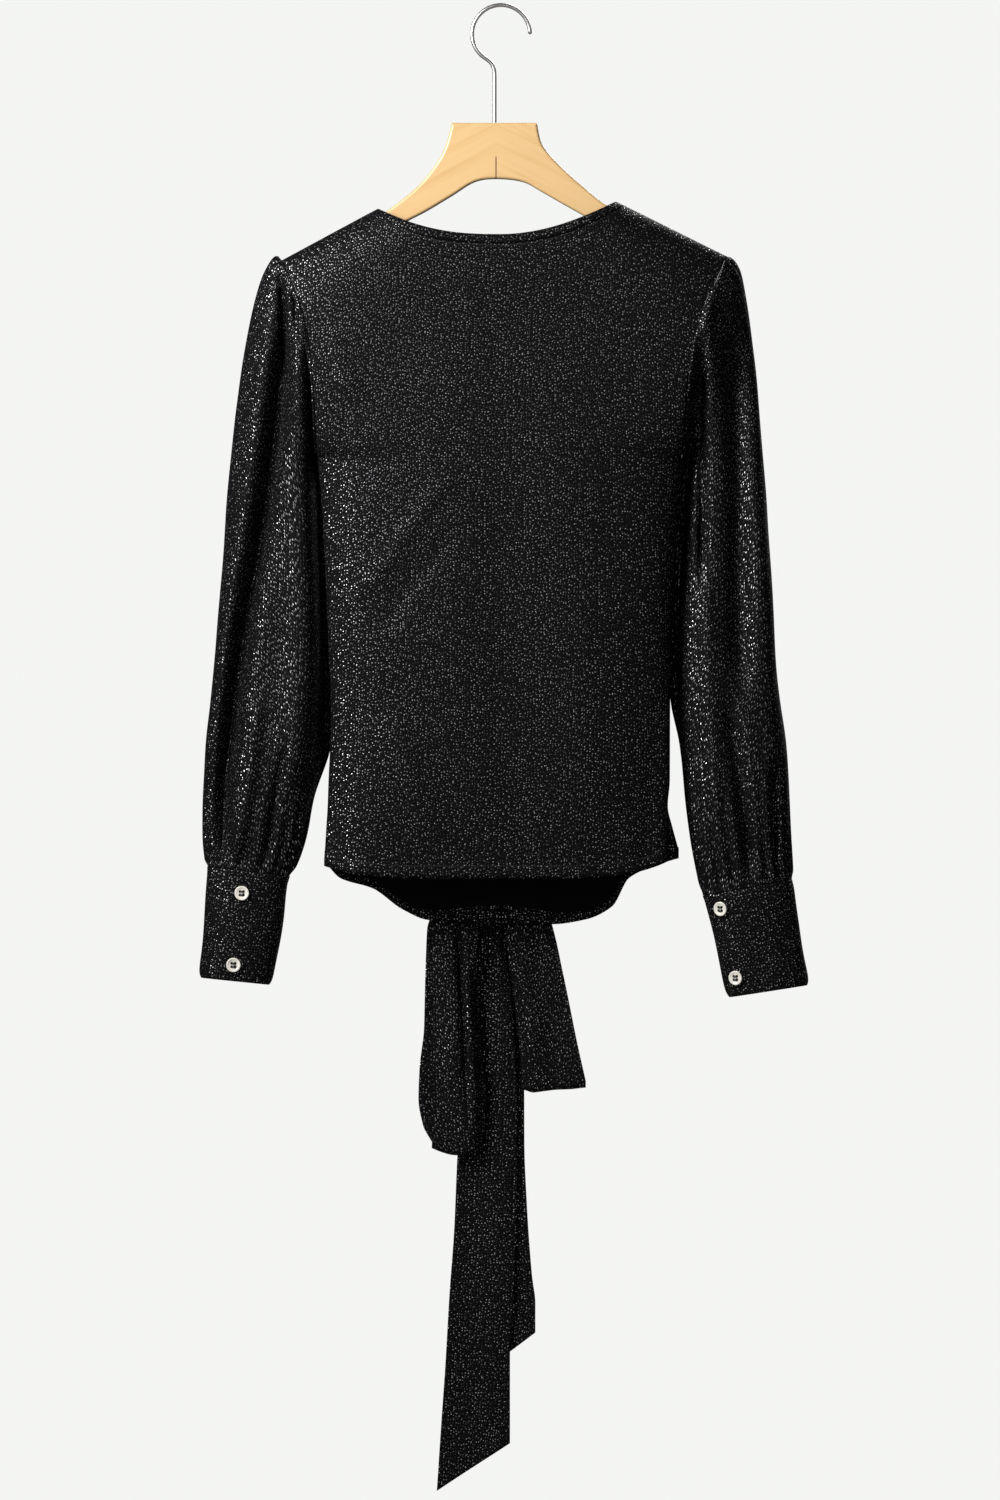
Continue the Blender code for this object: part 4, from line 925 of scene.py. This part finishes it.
def ring_shape(side, rows):
    """Gives a tube's table as a function: the point at a run and a turn, and its way out."""
    table = [RingRow(run, depth, forward, *edges[side > 0]) for run, depth, forward, *edges in rows]
    columns = {column: smooth_line(table, "run", column) for column in RingRow._fields[1:]}
    power = 2 / ROUNDNESS

    def read(run, turn):
        outer = Vector((columns["outer_x"](run), 0.0, columns["outer_z"](run)))
        inner = Vector((columns["inner_x"](run), 0.0, columns["inner_z"](run)))
        along = (outer - inner) / 2
        cosine, sine = math.cos(turn), math.sin(turn)
        deep = -columns["depth"](run) * math.copysign(abs(sine) ** power, sine)
        out = along.normalized() * cosine + Vector((0.0, -sine, 0.0))
        flat = (outer + inner) / 2 + along * math.copysign(abs(cosine) ** power, cosine)
        return flat + Vector((0.0, deep + columns["forward"](run), 0.0)), out

    return read


def gather_rise(turn, count, seed):
    """Uneven gathers round a tube, with sharp troughs between round tops."""
    cosine, sine = math.cos(turn), math.sin(turn)
    shift = GATHER_SHIFT * noise.noise((cosine * 2.0, sine * 2.0, seed))
    size = 0.75 + 0.5 * noise.noise((cosine * 3.0, sine * 3.0, seed + 9.0))
    return size * (1.0 - 2.0 * abs(math.sin(count / 2 * turn + shift)) ** GATHER_SHARPNESS)


def calm_at_cuff(run):
    """Fades folds and rolls out just above the cuff's seam."""
    return smooth_step((CUFF_CALM_FROM - run) / CUFF_CALM_BLEND)


def sleeve_fold(folds, run, turn, spot, room):
    """How far a fold moves the cloth straight back or forward, within the room inside the tube."""
    back = math.sin(turn) > 0
    rise = fold_rise(folds[0 if back else 1], spot.x, spot.z)
    rise *= smooth_step(abs(math.sin(turn)) / 0.30)
    fade = smooth_step(run / 0.03) * calm_at_cuff(run)
    return (-1 if back else 1) * max(rise * fade, -FOLD_ROOM * room)


def sleeve_rise(side, run, turn, spot):
    """How far soft rolls and the gathers at both ends lift the cloth."""
    fade = smooth_step(run / 0.06) * calm_at_cuff(run)
    through = side * (2.0 + math.sin(turn))
    roll = noise.noise((spot.x * SLEEVE_ROLL_ACROSS, through, spot.z * SLEEVE_ROLL_DOWN))
    head = smooth_step(run / 0.02) * smooth_step((HEAD_REACH - run) / 0.22)
    head *= max(0.0, math.cos(turn)) ** 0.5
    wrist = smooth_step((run - WRIST_FROM) / 0.18) * smooth_step((1.0 - run) / 0.022)
    rise = fade * SLEEVE_ROLL * roll * smooth_step((1 + math.cos(turn)) / 0.5)
    rise += HEAD_GATHER * head * gather_rise(turn, HEAD_GATHERS, side)
    return rise + WRIST_GATHER * wrist * gather_rise(turn, WRIST_GATHERS, side + 4.0)


def make_sleeve(side, name, node, folds):
    slope = SLOPE_LEFT if side < 0 else SLOPE_RIGHT
    shape = ring_shape(side, SLEEVES)
    turns = [2 * math.pi * step / SLEEVE_SIDES for step in range(SLEEVE_SIDES)]
    seam_ring, strip_ring, first_ring = [], [], []
    for turn in turns:
        lower = smooth_step((math.pi / 2 - abs(math.pi - turn)) / (math.pi / 2))
        gap = SEAM + KNIT_THICK * math.sin(lower * math.pi / 2)
        seam_ring.append(armhole_point(side, turn) + Vector((side * gap, 0.0, 0.0)))
        fall = mix(math.atan(slope), math.radians(UNDERARM_FALL), lower)
        heading = Vector((side * math.cos(fall), 0.0, -math.sin(fall)))
        strip_ring.append(seam_ring[-1] + heading * SEAM_STRIP)
        first_ring.append(seam_ring[-1] - shape(0.0, turn)[0])
    rows = [seam_ring, strip_ring]
    for step in range(SLEEVE_RINGS + 1):
        run = mix(SLEEVE_START, SLEEVE_END, step / SLEEVE_RINGS)
        left_over = 1 - smooth_step(run / ARMHOLE_BLEND)
        ring = []
        for turn, shift in zip(turns, first_ring):
            spot, out = shape(run, turn)
            room = abs(spot.y - shape(run, -turn)[0].y) / 2
            spot += shift * left_over
            fold = Vector((0.0, sleeve_fold(folds, run, turn, spot, room), 0.0))
            ring.append(spot + fold + out * sleeve_rise(side, run, turn, spot))
        rows.append(ring)
    rows.append([shape(1.0, turn)[0] for turn in turns])
    sew_piece(name, node, rows, ring=True, turned=side > 0)


make_sleeve(-1, "sleeve_on_left", "sleeve_left", (LEFT_BACK_FOLDS, LEFT_FRONT_FOLDS))
make_sleeve(1, "sleeve_on_right", "sleeve_right", (RIGHT_BACK_FOLDS, RIGHT_FRONT_FOLDS))


# The cuffs. A deep doubled band of the jersey, sewn to the gathered sleeve and closed by two
# buttons on its back. The doubled cloth stands smoother than the sleeve, with a few soft dents.

CUFFS = [
    (0.00, 0.0230, 0.0200, (-0.2583, -0.7562, -0.1870, -0.7648), (0.2561, -0.7677, 0.1786, -0.7823)),
    (0.34, 0.0232, 0.0200, (-0.2605, -0.7911, -0.1910, -0.7930), (0.2600, -0.7950, 0.1850, -0.8050)),
    (0.67, 0.0230, 0.0200, (-0.2631, -0.8228, -0.1962, -0.8250), (0.2655, -0.8270, 0.1920, -0.8370)),
    (1.00, 0.0225, 0.0200, (-0.2662, -0.8540, -0.2024, -0.8606), (0.2715, -0.8606, 0.2002, -0.8716)),
]
CUFF_THICK = 0.0016
CUFF_SIDES = 112
CUFF_RINGS = 52
CUFF_ROLL = 0.0016
CUFF_ROLL_ACROSS = 26.0
CUFF_ROLL_DOWN = 20.0
CUFF_EDGE = 0.0005
CUFF_CORNER = 0.0022
cuff_shapes = {side: ring_shape(side, CUFFS) for side in (-1, 1)}


def cuff_point(side, run, turn):
    spot, out = cuff_shapes[side](run, turn)
    fade = smooth_step(run / 0.10)
    through = 5.0 * side + math.sin(turn) * 1.4
    roll = noise.noise((spot.x * CUFF_ROLL_ACROSS, through, spot.z * CUFF_ROLL_DOWN))
    edge = math.exp(-run / 0.03) + math.exp((run - 1) / 0.03)
    corner = math.exp((run - 1) / 0.035) * math.cos(turn) ** 4
    return spot + out * (CUFF_ROLL * fade * roll - CUFF_EDGE * edge * fade - CUFF_CORNER * corner)


for side, hand in ((-1, "left"), (1, "right")):
    turns = [2 * math.pi * step / CUFF_SIDES for step in range(CUFF_SIDES)]
    rows = []
    for ring in range(CUFF_RINGS + 1):
        rows.append([cuff_point(side, ring / CUFF_RINGS, turn) for turn in turns])
    sew_piece("cuff_on_" + hand, "cuff_" + hand, rows, ring=True, turned=side > 0,
              thick=CUFF_THICK, doubled=True)


# The cuff buttons. Each is turned from pearly resin, 12.6 mm across, with a raised rim, a
# dished face and four holes, and is sewn on with black thread.

ButtonRow = namedtuple("ButtonRow", "node side run turn")
BUTTONS = [
    ButtonRow("button_left_upper", -1, 0.21, 86),
    ButtonRow("button_left_lower", -1, 0.86, 86),
    ButtonRow("button_right_upper", 1, 0.20, 130),
    ButtonRow("button_right_lower", 1, 0.85, 130),
]
BUTTON_RADIUS = 0.0063
BUTTON_THICK = 0.0026
BUTTON_RIM = 0.0014
BUTTON_DISH = 0.0007
RIM_STEPS = 6
BUTTON_CREASE = 50
HOLE_RADIUS = 0.0013
HOLE_SPREAD = 0.0021
DRILL = [(0.0, 0.004), (HOLE_RADIUS, 0.004), (HOLE_RADIUS, -0.001), (0.0, -0.001)]
DRILL_STEPS = 20
THREAD_HALF = 0.00065
BUTTON_STEPS = 64
PEARL_CLOUDS = {"Scale": 320.0, "Detail": 2.0, "Distortion": 1.2}
PEARL_LIGHT = (0.72, 0.685, 0.61, 1.0)
PEARL_DARK = (0.62, 0.59, 0.53, 1.0)
THREAD_BLACKS = (0.004, 0.004, 0.005, 1.0), (0.014, 0.014, 0.016, 1.0)
PLIES = {"Scale": 900.0, "Distortion": 1.0}


def pearl_finish():
    """Cream resin with the soft, cloudy shine of pearl."""
    pearl, shader = start_finish("pearl_resin", 0.24)
    shader.inputs["Coat Weight"].default_value = 0.5
    shader.inputs["Coat Roughness"].default_value = 0.12
    clouds = add_step(pearl, "TexNoise", {"Vector": place_in(pearl), **PEARL_CLOUDS}).outputs[0]
    share = between(pearl, clouds, 0.35, 0.65)
    feed(pearl, shader.inputs["Base Color"], mix_colours(pearl, share, PEARL_LIGHT, PEARL_DARK))
    return pearl


def thread_finish():
    """Black polyester thread, with the twist of its plies."""
    black, shader = start_finish("black_thread", 0.7)
    plies = add_step(black, "TexWave", {"Vector": place_in(black), **PLIES}).outputs[1]
    feed(black, shader.inputs["Base Color"], mix_colours(black, plies, *THREAD_BLACKS))
    return black


pearl = pearl_finish()
black_thread = thread_finish()


def close_rings(rings, steps):
    """Faces over rings of points, with a first and a last point that close their two ends."""
    faces = []
    for step in range(steps):
        after = (step + 1) % steps
        faces.append((0, 1 + step, 1 + after))
        for ring in range(rings - 1):
            start, below = 1 + ring * steps, 1 + (ring + 1) * steps
            faces.append((start + step, below + step, below + after, start + after))
        last = 1 + (rings - 1) * steps
        faces.append((last + steps, last + after, last + step))
    return faces


def lathe(name, profile, steps):
    """A closed shape turned from its profile, whose two ends lie on the axis."""
    points = [(0.0, 0.0, profile[0][1])]
    for radius, height in profile[1:-1]:
        for step in range(steps):
            angle = 2 * math.pi * step / steps
            points.append((radius * math.cos(angle), radius * math.sin(angle), height))
    points.append((0.0, 0.0, profile[-1][1]))
    return make_mesh(name, points, close_rings(len(profile) - 2, steps))


def button_profile():
    """Half of the section, from the middle of the dish over the rim to the middle below."""
    dish, inner = BUTTON_THICK - BUTTON_DISH, BUTTON_RADIUS - BUTTON_RIM
    profile = [(0.0, dish), (inner * 0.5, dish), (inner * 0.8, dish + BUTTON_DISH * 0.06)]
    profile += [(inner * 0.92, dish + BUTTON_DISH * 0.35), (inner, dish + BUTTON_DISH * 0.8)]
    rim_middle, rim_half = BUTTON_RADIUS - BUTTON_RIM / 2, BUTTON_RIM / 2
    for step in range(1, RIM_STEPS + 1):
        angle = math.pi * (1 - step / RIM_STEPS)
        height = BUTTON_THICK - BUTTON_DISH * 0.45 + BUTTON_DISH * 0.45 * math.sin(angle)
        profile.append((rim_middle + rim_half * math.cos(angle), height))
    profile += [(BUTTON_RADIUS, BUTTON_THICK * 0.35), (BUTTON_RADIUS * 0.95, BUTTON_THICK * 0.1)]
    return profile + [(BUTTON_RADIUS * 0.85, 0.0), (0.0, 0.0)]


def cuff_frame(row):
    """Where a button sits on its cuff, and the way out of the cloth there."""
    turn, step = math.radians(row.turn), 0.02
    place = cuff_point(row.side, row.run, turn)
    along = cuff_point(row.side, row.run + step, turn) - cuff_point(row.side, row.run - step, turn)
    round_it = cuff_point(row.side, row.run, turn + step) - cuff_point(row.side, row.run, turn - step)
    out = along.cross(round_it).normalized()
    out *= -math.copysign(1.0, out.y)
    return place + out * (CUFF_THICK / 2 + SEAM), out


def sew_button(row):
    place, out = cuff_frame(row)
    turned = out.to_track_quat("Z", "Y").to_matrix().to_4x4()
    turned.translation = place
    button = bring_in("pearl_" + row.node, lathe(row.node, button_profile(), BUTTON_STEPS))
    button.data.materials.append(pearl)
    drills = []
    for x, y in ((-1, -1), (-1, 1), (1, -1), (1, 1)):
        drill = bring_in("drill", lathe("drill", DRILL, DRILL_STEPS))
        drill.data.materials.append(black_thread)
        drill.location = Vector((x, y, 0.0)) * HOLE_SPREAD / math.sqrt(2)
        drills.append(drill)
        cut = button.modifiers.new("hole", "BOOLEAN")
        cut.object = drill
        cut.material_mode = "TRANSFER"
    bpy.context.view_layer.update()
    graph = bpy.context.evaluated_depsgraph_get()
    drilled = bpy.data.meshes.new_from_object(button.evaluated_get(graph))
    button.modifiers.clear()
    button.data = drilled
    for drill in drills:
        bpy.data.objects.remove(drill)
    drilled.transform(turned)
    drilled.shade_smooth()
    drilled.set_sharp_from_angle(angle=math.radians(BUTTON_CREASE))
    stand_for(button, row.node)


def sew_thread(row, number, start, end):
    """One bar of thread, from hole to hole over the dish, dipping into both."""
    place, out = cuff_frame(row)
    turned = out.to_track_quat("Z", "Y").to_matrix()
    dish = BUTTON_THICK - BUTTON_DISH
    heights = (0.0004, dish - 0.0003, dish + THREAD_HALF, dish + THREAD_HALF * 1.5)
    dips = list(zip((0.06, 0.02, 0.12, 0.50), heights))
    path = [start.lerp(end, share) + Vector((0.0, 0.0, height)) for share, height in dips]
    path += [end.lerp(start, share) + Vector((0.0, 0.0, height)) for share, height in dips[2::-1]]
    points = [place + turned @ point for point in soften(path, 4)]
    bar = draw_solid(f"{row.node}_thread_{number}", points, dimensions="3D",
                     bevel_depth=THREAD_HALF, bevel_resolution=3, use_fill_caps=True)
    coat(bar, black_thread)
    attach(bar, "root")


for row in BUTTONS:
    sew_button(row)
    spread = HOLE_SPREAD / math.sqrt(2)
    for number, level in enumerate((-spread, spread)):
        sew_thread(row, number, Vector((-spread, level, 0.0)), Vector((spread, level, 0.0)))


# The knot. The sash's two ends cross and wrap once round each other at the middle of the
# front, so the knot is a soft squarish lump with the wrapped cloth lying over it in folds.

KNOT_CENTRE = Vector((-0.0100, 0.0525, -0.7915))
KNOT_HALF = Vector((0.0170, 0.0118, 0.0155))
KNOT_SQUARENESS = 0.7
KNOT_SIDES = 72
KNOT_RINGS = 48
KNOT_CREASE = 0.055
KNOT_LEAN = 0.22
KNOT_CREASES = 6.5
KNOT_LUMPS = 0.03
KNOT_LUMP_SIZE = 2.2


def knot_point(ring, side):
    """A point of the knot. The wrap's folds run up and down it, pinched to its left and right."""
    tip, turn = math.pi * ring / KNOT_RINGS, 2 * math.pi * side / KNOT_SIDES
    ball = Vector((math.cos(tip), math.sin(tip) * math.cos(turn), math.sin(tip) * math.sin(turn)))
    lean = ball.x + KNOT_LEAN * ball.z
    crease = abs(math.sin(lean * KNOT_CREASES + 0.6 * math.sin(turn))) ** 1.6
    pinch = 1 - KNOT_CREASE * (1 - crease) * (1 - abs(ball.x) ** 3)
    soft = 1 + KNOT_LUMPS * noise.noise(ball * KNOT_LUMP_SIZE)
    shape = [math.copysign(abs(value) ** KNOT_SQUARENESS, value) for value in ball]
    return KNOT_CENTRE + Vector([half * value * pinch * soft for half, value in zip(KNOT_HALF, shape)])


points = [knot_point(0, 0)]
for ring in range(1, KNOT_RINGS):
    points.extend(knot_point(ring, side) for side in range(KNOT_SIDES))
points.append(knot_point(KNOT_RINGS, 0))
faces = close_rings(KNOT_RINGS - 1, KNOT_SIDES)
laid = [points[i].xz for face in faces for i in face]
knot_mesh = make_mesh("tie_knot", points, faces, cut=[(1.0, 1.0)] * len(laid), cloth=laid)
knot = bring_in("tie_knot", knot_mesh)
coat(knot, glitter)
stand_for(knot, "knot")


# The bow's two loops. Each is the end of the sash folded back on itself: it leaves the knot in
# small pleats, hangs down, turns under and comes back up behind. It is doubled cloth.

StripRow = namedtuple("StripRow", "outer_x outer_z inner_x inner_z near far", defaults=[0.0])
LOOP_LEFT = [
    StripRow(-0.0268, -0.7840, -0.0268, -0.8000, 0.0500, 0.0556),
    StripRow(-0.0440, -0.7862, -0.0248, -0.8045, 0.0490, 0.0562),
    StripRow(-0.0590, -0.7960, -0.0226, -0.8075, 0.0475, 0.0565),
    StripRow(-0.0652, -0.8130, -0.0216, -0.8130, 0.0462, 0.0562),
    StripRow(-0.0669, -0.8560, -0.0207, -0.8560, 0.0455, 0.0562),
    StripRow(-0.0680, -0.9000, -0.0185, -0.9000, 0.0452, 0.0562),
    StripRow(-0.0720, -0.9350, -0.0158, -0.9350, 0.0452, 0.0562),
    StripRow(-0.0730, -0.9620, -0.0132, -0.9620, 0.0452, 0.0562),
    StripRow(-0.0690, -0.9860, -0.0150, -0.9920, 0.0458, 0.0556),
    StripRow(-0.0610, -1.0010, -0.0170, -1.0040, 0.0464, 0.0550),
]
LOOP_RIGHT = [
    StripRow(0.0068, -0.7840, 0.0068, -0.8000, 0.0500, 0.0556),
    StripRow(0.0240, -0.7862, 0.0060, -0.8045, 0.0490, 0.0562),
    StripRow(0.0395, -0.7960, 0.0042, -0.8075, 0.0475, 0.0565),
    StripRow(0.0462, -0.8130, 0.0036, -0.8130, 0.0462, 0.0562),
    StripRow(0.0554, -0.8545, 0.0088, -0.8545, 0.0455, 0.0562),
    StripRow(0.0669, -0.9110, 0.0165, -0.9120, 0.0455, 0.0560),
    StripRow(0.0750, -0.9470, 0.0185, -0.9520, 0.0460, 0.0556),
]
STRIP_THICK = 0.0016
LOOP_COLUMNS = 46
LOOP_ROWS = 90
TURN_UNDER_STEPS = 12
LOOP_SAG = 0.0050
LOOP_PLEAT = 0.0012
PLEATS = 3.5
PLEAT_RUN = 0.055
STRIP_RIPPLE = 0.0011
LOOP_DIP = 0.0030
LOOP_FAR_DIP = 0.0010
LOOP_DIP_ACROSS = 3.0
LOOP_DIP_DOWN = 16.0
ROLLED_EDGE = 0.0080
ROLLED_WIDE = 0.009
CREASE_DEEP = 0.0060
CREASE_WIDE = 0.0030
CREASE_TOP_X = -0.0400
CREASE_LOW_X = -0.0275


def strip_shape(table):
    """Gives a strip's table as a function of the length passed, and the strip's whole length."""
    middles = [Vector((row.outer_x + row.inner_x, row.outer_z + row.inner_z)) / 2 for row in table]
    marks = run_lengths(middles)
    MarkRow = namedtuple("MarkRow", ("mark",) + StripRow._fields)
    rows = [MarkRow(mark, *row) for mark, row in zip(marks, table)]
    columns = {column: smooth_line(rows, "mark", column) for column in StripRow._fields}

    def read(mark, share, layer):
        x = mix(columns["outer_x"](mark), columns["inner_x"](mark), share)
        z = mix(columns["outer_z"](mark), columns["inner_z"](mark), share)
        pleat = LOOP_PLEAT * math.sin(2 * math.pi * PLEATS * share) * smooth_step(mark / 0.006)
        pleat *= smooth_step((PLEAT_RUN - mark) / PLEAT_RUN)
        ripple = STRIP_RIPPLE * math.sin(2 * math.pi * share) * smooth_step(mark / PLEAT_RUN)
        return Vector((x, columns[layer](mark) + ripple + pleat, z))

    return read, marks[-1]


def make_loop(side, name, node, table, sag, rolled, creased):
    read, whole = strip_shape(table)
    wide = abs(table[4].outer_x - table[4].inner_x)

    def layer_row(mark, layer):
        row = []
        low = smooth_step((mark / whole - 0.6) / 0.4)
        for column in range(LOOP_COLUMNS + 1):
            share = column / LOOP_COLUMNS
            point = read(mark, share, layer)
            point.z -= sag * low * math.sin(math.pi * share)
            lift = noise.noise((share * LOOP_DIP_ACROSS, side * 3.0, point.z * LOOP_DIP_DOWN))
            calm = smooth_step(mark / 0.06) * (1 - 0.6 * low)
            if layer == "near":
                inward = smooth_step(1 - (1 - share) * wide / ROLLED_WIDE)
                point.y += rolled * inward * smooth_step((mark - 0.05) / 0.04)
                point.y -= LOOP_DIP * calm * (1 - inward) * (0.5 + lift)
                off_crease = (point.x - mix(CREASE_TOP_X, CREASE_LOW_X, mark / whole)) / CREASE_WIDE
                point.y += creased * calm * (1 - low) * math.exp(-(off_crease**2))
            else:
                point.y += LOOP_FAR_DIP * calm * lift
            row.append(point)
        return row

    near = [layer_row(whole * step / LOOP_ROWS, "near") for step in range(LOOP_ROWS + 1)]
    far = [layer_row(whole * step / LOOP_ROWS, "far") for step in range(LOOP_ROWS + 1)]
    turn_under = []
    for step in range(1, TURN_UNDER_STEPS):
        angle = math.pi * step / TURN_UNDER_STEPS
        row = []
        for start, end in zip(near[-1], far[-1]):
            radius = (end.y - start.y) / 2
            way = Vector((0.0, -radius * math.cos(angle), -radius * math.sin(angle)))
            row.append((start + end) / 2 + way)
        turn_under.append(row)
    sew_piece(name, node, near + turn_under + far[::-1], thick=STRIP_THICK,
              doubled=True, turned=side > 0)


make_loop(-1, "bow_loop_left", "loop_left", LOOP_LEFT, LOOP_SAG, ROLLED_EDGE, CREASE_DEEP)
make_loop(1, "bow_loop_right", "loop_right", LOOP_RIGHT, 0.0, ROLLED_EDGE * 0.7, 0.0)


# The tie's two ends. They hang out from under the knot, a long one and a short one, each
# doubled and cut at a slant. Their rows leave out the far layer, which only a loop has.

TAIL_LONG = [
    StripRow(-0.0226, -0.8010, 0.0036, -0.8010, 0.0535),
    StripRow(-0.0222, -0.8250, 0.0040, -0.8250, 0.0585),
    StripRow(-0.0270, -0.8756, 0.0097, -0.8756, 0.0605),
    StripRow(-0.0343, -0.9548, 0.0141, -0.9548, 0.0605),
    StripRow(-0.0387, -1.0155, 0.0145, -1.0155, 0.0600),
    StripRow(-0.0414, -1.0780, 0.0137, -1.0780, 0.0590),
    StripRow(-0.0458, -1.1387, 0.0114, -1.1387, 0.0580),
    StripRow(-0.0493, -1.1994, 0.0079, -1.1900, 0.0575),
    StripRow(-0.0528, -1.2496, 0.0079, -1.2300, 0.0570),
    StripRow(-0.0568, -1.3103, 0.0079, -1.2681, 0.0565),
]
TAIL_SHORT = [
    StripRow(-0.0215, -0.8010, 0.0045, -0.8010, 0.0590),
    StripRow(-0.0215, -0.8250, 0.0065, -0.8250, 0.0625),
    StripRow(-0.0250, -0.8756, 0.0140, -0.8756, 0.0645),
    StripRow(-0.0310, -0.9548, 0.0205, -0.9548, 0.0650),
    StripRow(-0.0310, -1.0000, 0.0206, -1.0000, 0.0645),
    StripRow(-0.0305, -1.0578, 0.0229, -1.0578, 0.0635),
    StripRow(-0.0300, -1.1185, 0.0273, -1.1185, 0.0630),
    StripRow(-0.0300, -1.1700, 0.0304, -1.1450, 0.0625),
    StripRow(-0.0300, -1.2160, 0.0304, -1.1704, 0.0620),
]
TAIL_COLUMNS = 40
TAIL_ROWS = 170
TAIL_ROLL = 0.0010
TAIL_ROLL_ACROSS = 22.0
TAIL_ROLL_DOWN = 11.0

for length, table, seed in (("long", TAIL_LONG, 1.0), ("short", TAIL_SHORT, 5.0)):
    read_tail, whole = strip_shape(table)
    rows = []
    for step in range(TAIL_ROWS + 1):
        row = []
        for column in range(TAIL_COLUMNS + 1):
            point = read_tail(whole * step / TAIL_ROWS, column / TAIL_COLUMNS, "near")
            lift = noise.noise((point.x * TAIL_ROLL_ACROSS, seed, point.z * TAIL_ROLL_DOWN))
            point.y += TAIL_ROLL * lift * smooth_step(step / TAIL_ROWS / 0.12)
            row.append(point)
        rows.append(row)
    sew_piece("tie_end_" + length, "tail_" + length, rows, thick=STRIP_THICK, doubled=True)


# The floor. Plain pale paper, well below the blouse, which thins out to nothing far away so
# that no edge of it shows.

FLOOR_HEIGHT = -1.75
FLOOR_SOLID = 3.4
FLOOR_GONE = 5.0
FLOOR_HALF = FLOOR_GONE + 0.2
FLOOR_SHARE = 0.35
PAPER = (0.905, 0.915, 0.900, 1.0)
PAPER_GRAIN = (0.88, 0.89, 0.875, 1.0)

paper, shader = start_finish("pale_floor", 0.9)
parts = add_step(paper, "SeparateXYZ", {0: place_in(paper)}).outputs
flat = add_step(paper, "CombineXYZ", {"X": parts["X"], "Y": parts["Y"]}).outputs[0]
reach = add_step(paper, "VectorMath", {0: flat}, operation="LENGTH").outputs["Value"]
grain = add_step(paper, "TexNoise", {"Scale": 6.0, "Detail": 2.0}).outputs[0]
feed(paper, shader.inputs["Base Color"], mix_colours(paper, grain, PAPER, PAPER_GRAIN))
shown = reckon(paper, "MULTIPLY", between(paper, reach, FLOOR_GONE, FLOOR_SOLID), FLOOR_SHARE)
feed(paper, shader.inputs["Alpha"], shown)
corners = [(x * FLOOR_HALF, y * FLOOR_HALF, 0.0) for x, y in ((-1, -1), (1, -1), (1, 1), (-1, 1))]
floor = bring_in("pale_floor", make_mesh("pale_floor", corners, [(0, 1, 2, 3)]))
floor.data.materials.append(paper)
floor.location.z = FLOOR_HEIGHT


# The lights. One broad soft box stands high on the left, as in the photograph. Weak suns fill
# in from the right and from behind the camera, and a stronger one lights the far side.

SOFT_BOX_SIZE = 0.9
SOFT_BOX_POWER = 33.5
SOFT_BOX_SPREAD = 120
SOFT_BOX_PLACE = Vector((-1.20, -1.10, 0.40))
SOFT_BOX_AIM = Vector((0.0, 0.0, -0.12))
Sun = namedtuple("Sun", "name strength softness away")
SUNS = [
    Sun("fill_light", 0.34, 60, Vector((0.8, -0.9, 0.05))),
    Sun("front_light", 0.34, 50, Vector((-0.45, -1.0, 0.10))),
    Sun("far_light", 2.6, 40, Vector((0.5, 1.0, 0.7))),
]


def hang_light(name, light, away):
    """Hangs a light so that it shines on the blouse. away leads from there to the light."""
    hung = bring_in(name, light)
    hung.rotation_euler = away.to_track_quat("Z", "Y").to_euler()
    return hung


soft_box = bpy.data.lights.new("soft_box", "AREA")
soft_box.shape = "SQUARE"
soft_box.size = SOFT_BOX_SIZE
soft_box.energy = SOFT_BOX_POWER
soft_box.spread = math.radians(SOFT_BOX_SPREAD)
hang_light("soft_box", soft_box, SOFT_BOX_PLACE - SOFT_BOX_AIM).location = SOFT_BOX_PLACE
for sun in SUNS:
    light = bpy.data.lights.new(sun.name, "SUN")
    light.energy = sun.strength
    light.angle = math.radians(sun.softness)
    hang_light(sun.name, light, sun.away)


# The surround and the camera. The surround looks like the pale paper but lights only faintly.
# The camera stands straight in front of the blouse's back, far off, as in the photograph.

GLOW = (0.95, 0.97, 1.0, 1.0)
GLOW_STRENGTH = 0.035
VIEW_MIDDLE = Vector((-0.0009, 0.0, -0.6538))
VIEW_HIGH = 1.32
CAMERA_AWAY = 8.0

world = bpy.data.worlds.new("pale_surround")
world.use_nodes = True
bpy.context.scene.world = world
glow = world.node_tree.nodes["Background"]
glow.inputs["Color"].default_value = GLOW
glow.inputs["Strength"].default_value = GLOW_STRENGTH
seen = add_step(world, "Background", {"Color": PAPER}).outputs[0]
straight = add_step(world, "LightPath", {}).outputs["Is Camera Ray"]
chosen = add_step(world, "MixShader", {0: straight, 1: glow.outputs[0], 2: seen}).outputs[0]
feed(world, world.node_tree.nodes["World Output"].inputs[0], chosen)

lens = bpy.data.cameras.new("front_of_wall")
lens.sensor_width = 36.0
lens.lens = lens.sensor_width * CAMERA_AWAY / VIEW_HIGH
camera = bring_in("front_of_wall", lens)
camera.location = VIEW_MIDDLE - Vector((0.0, CAMERA_AWAY, 0.0))
camera.rotation_euler = (math.pi / 2, 0.0, 0.0)
bpy.context.scene.camera = camera
bpy.context.scene.view_settings.view_transform = "Standard"
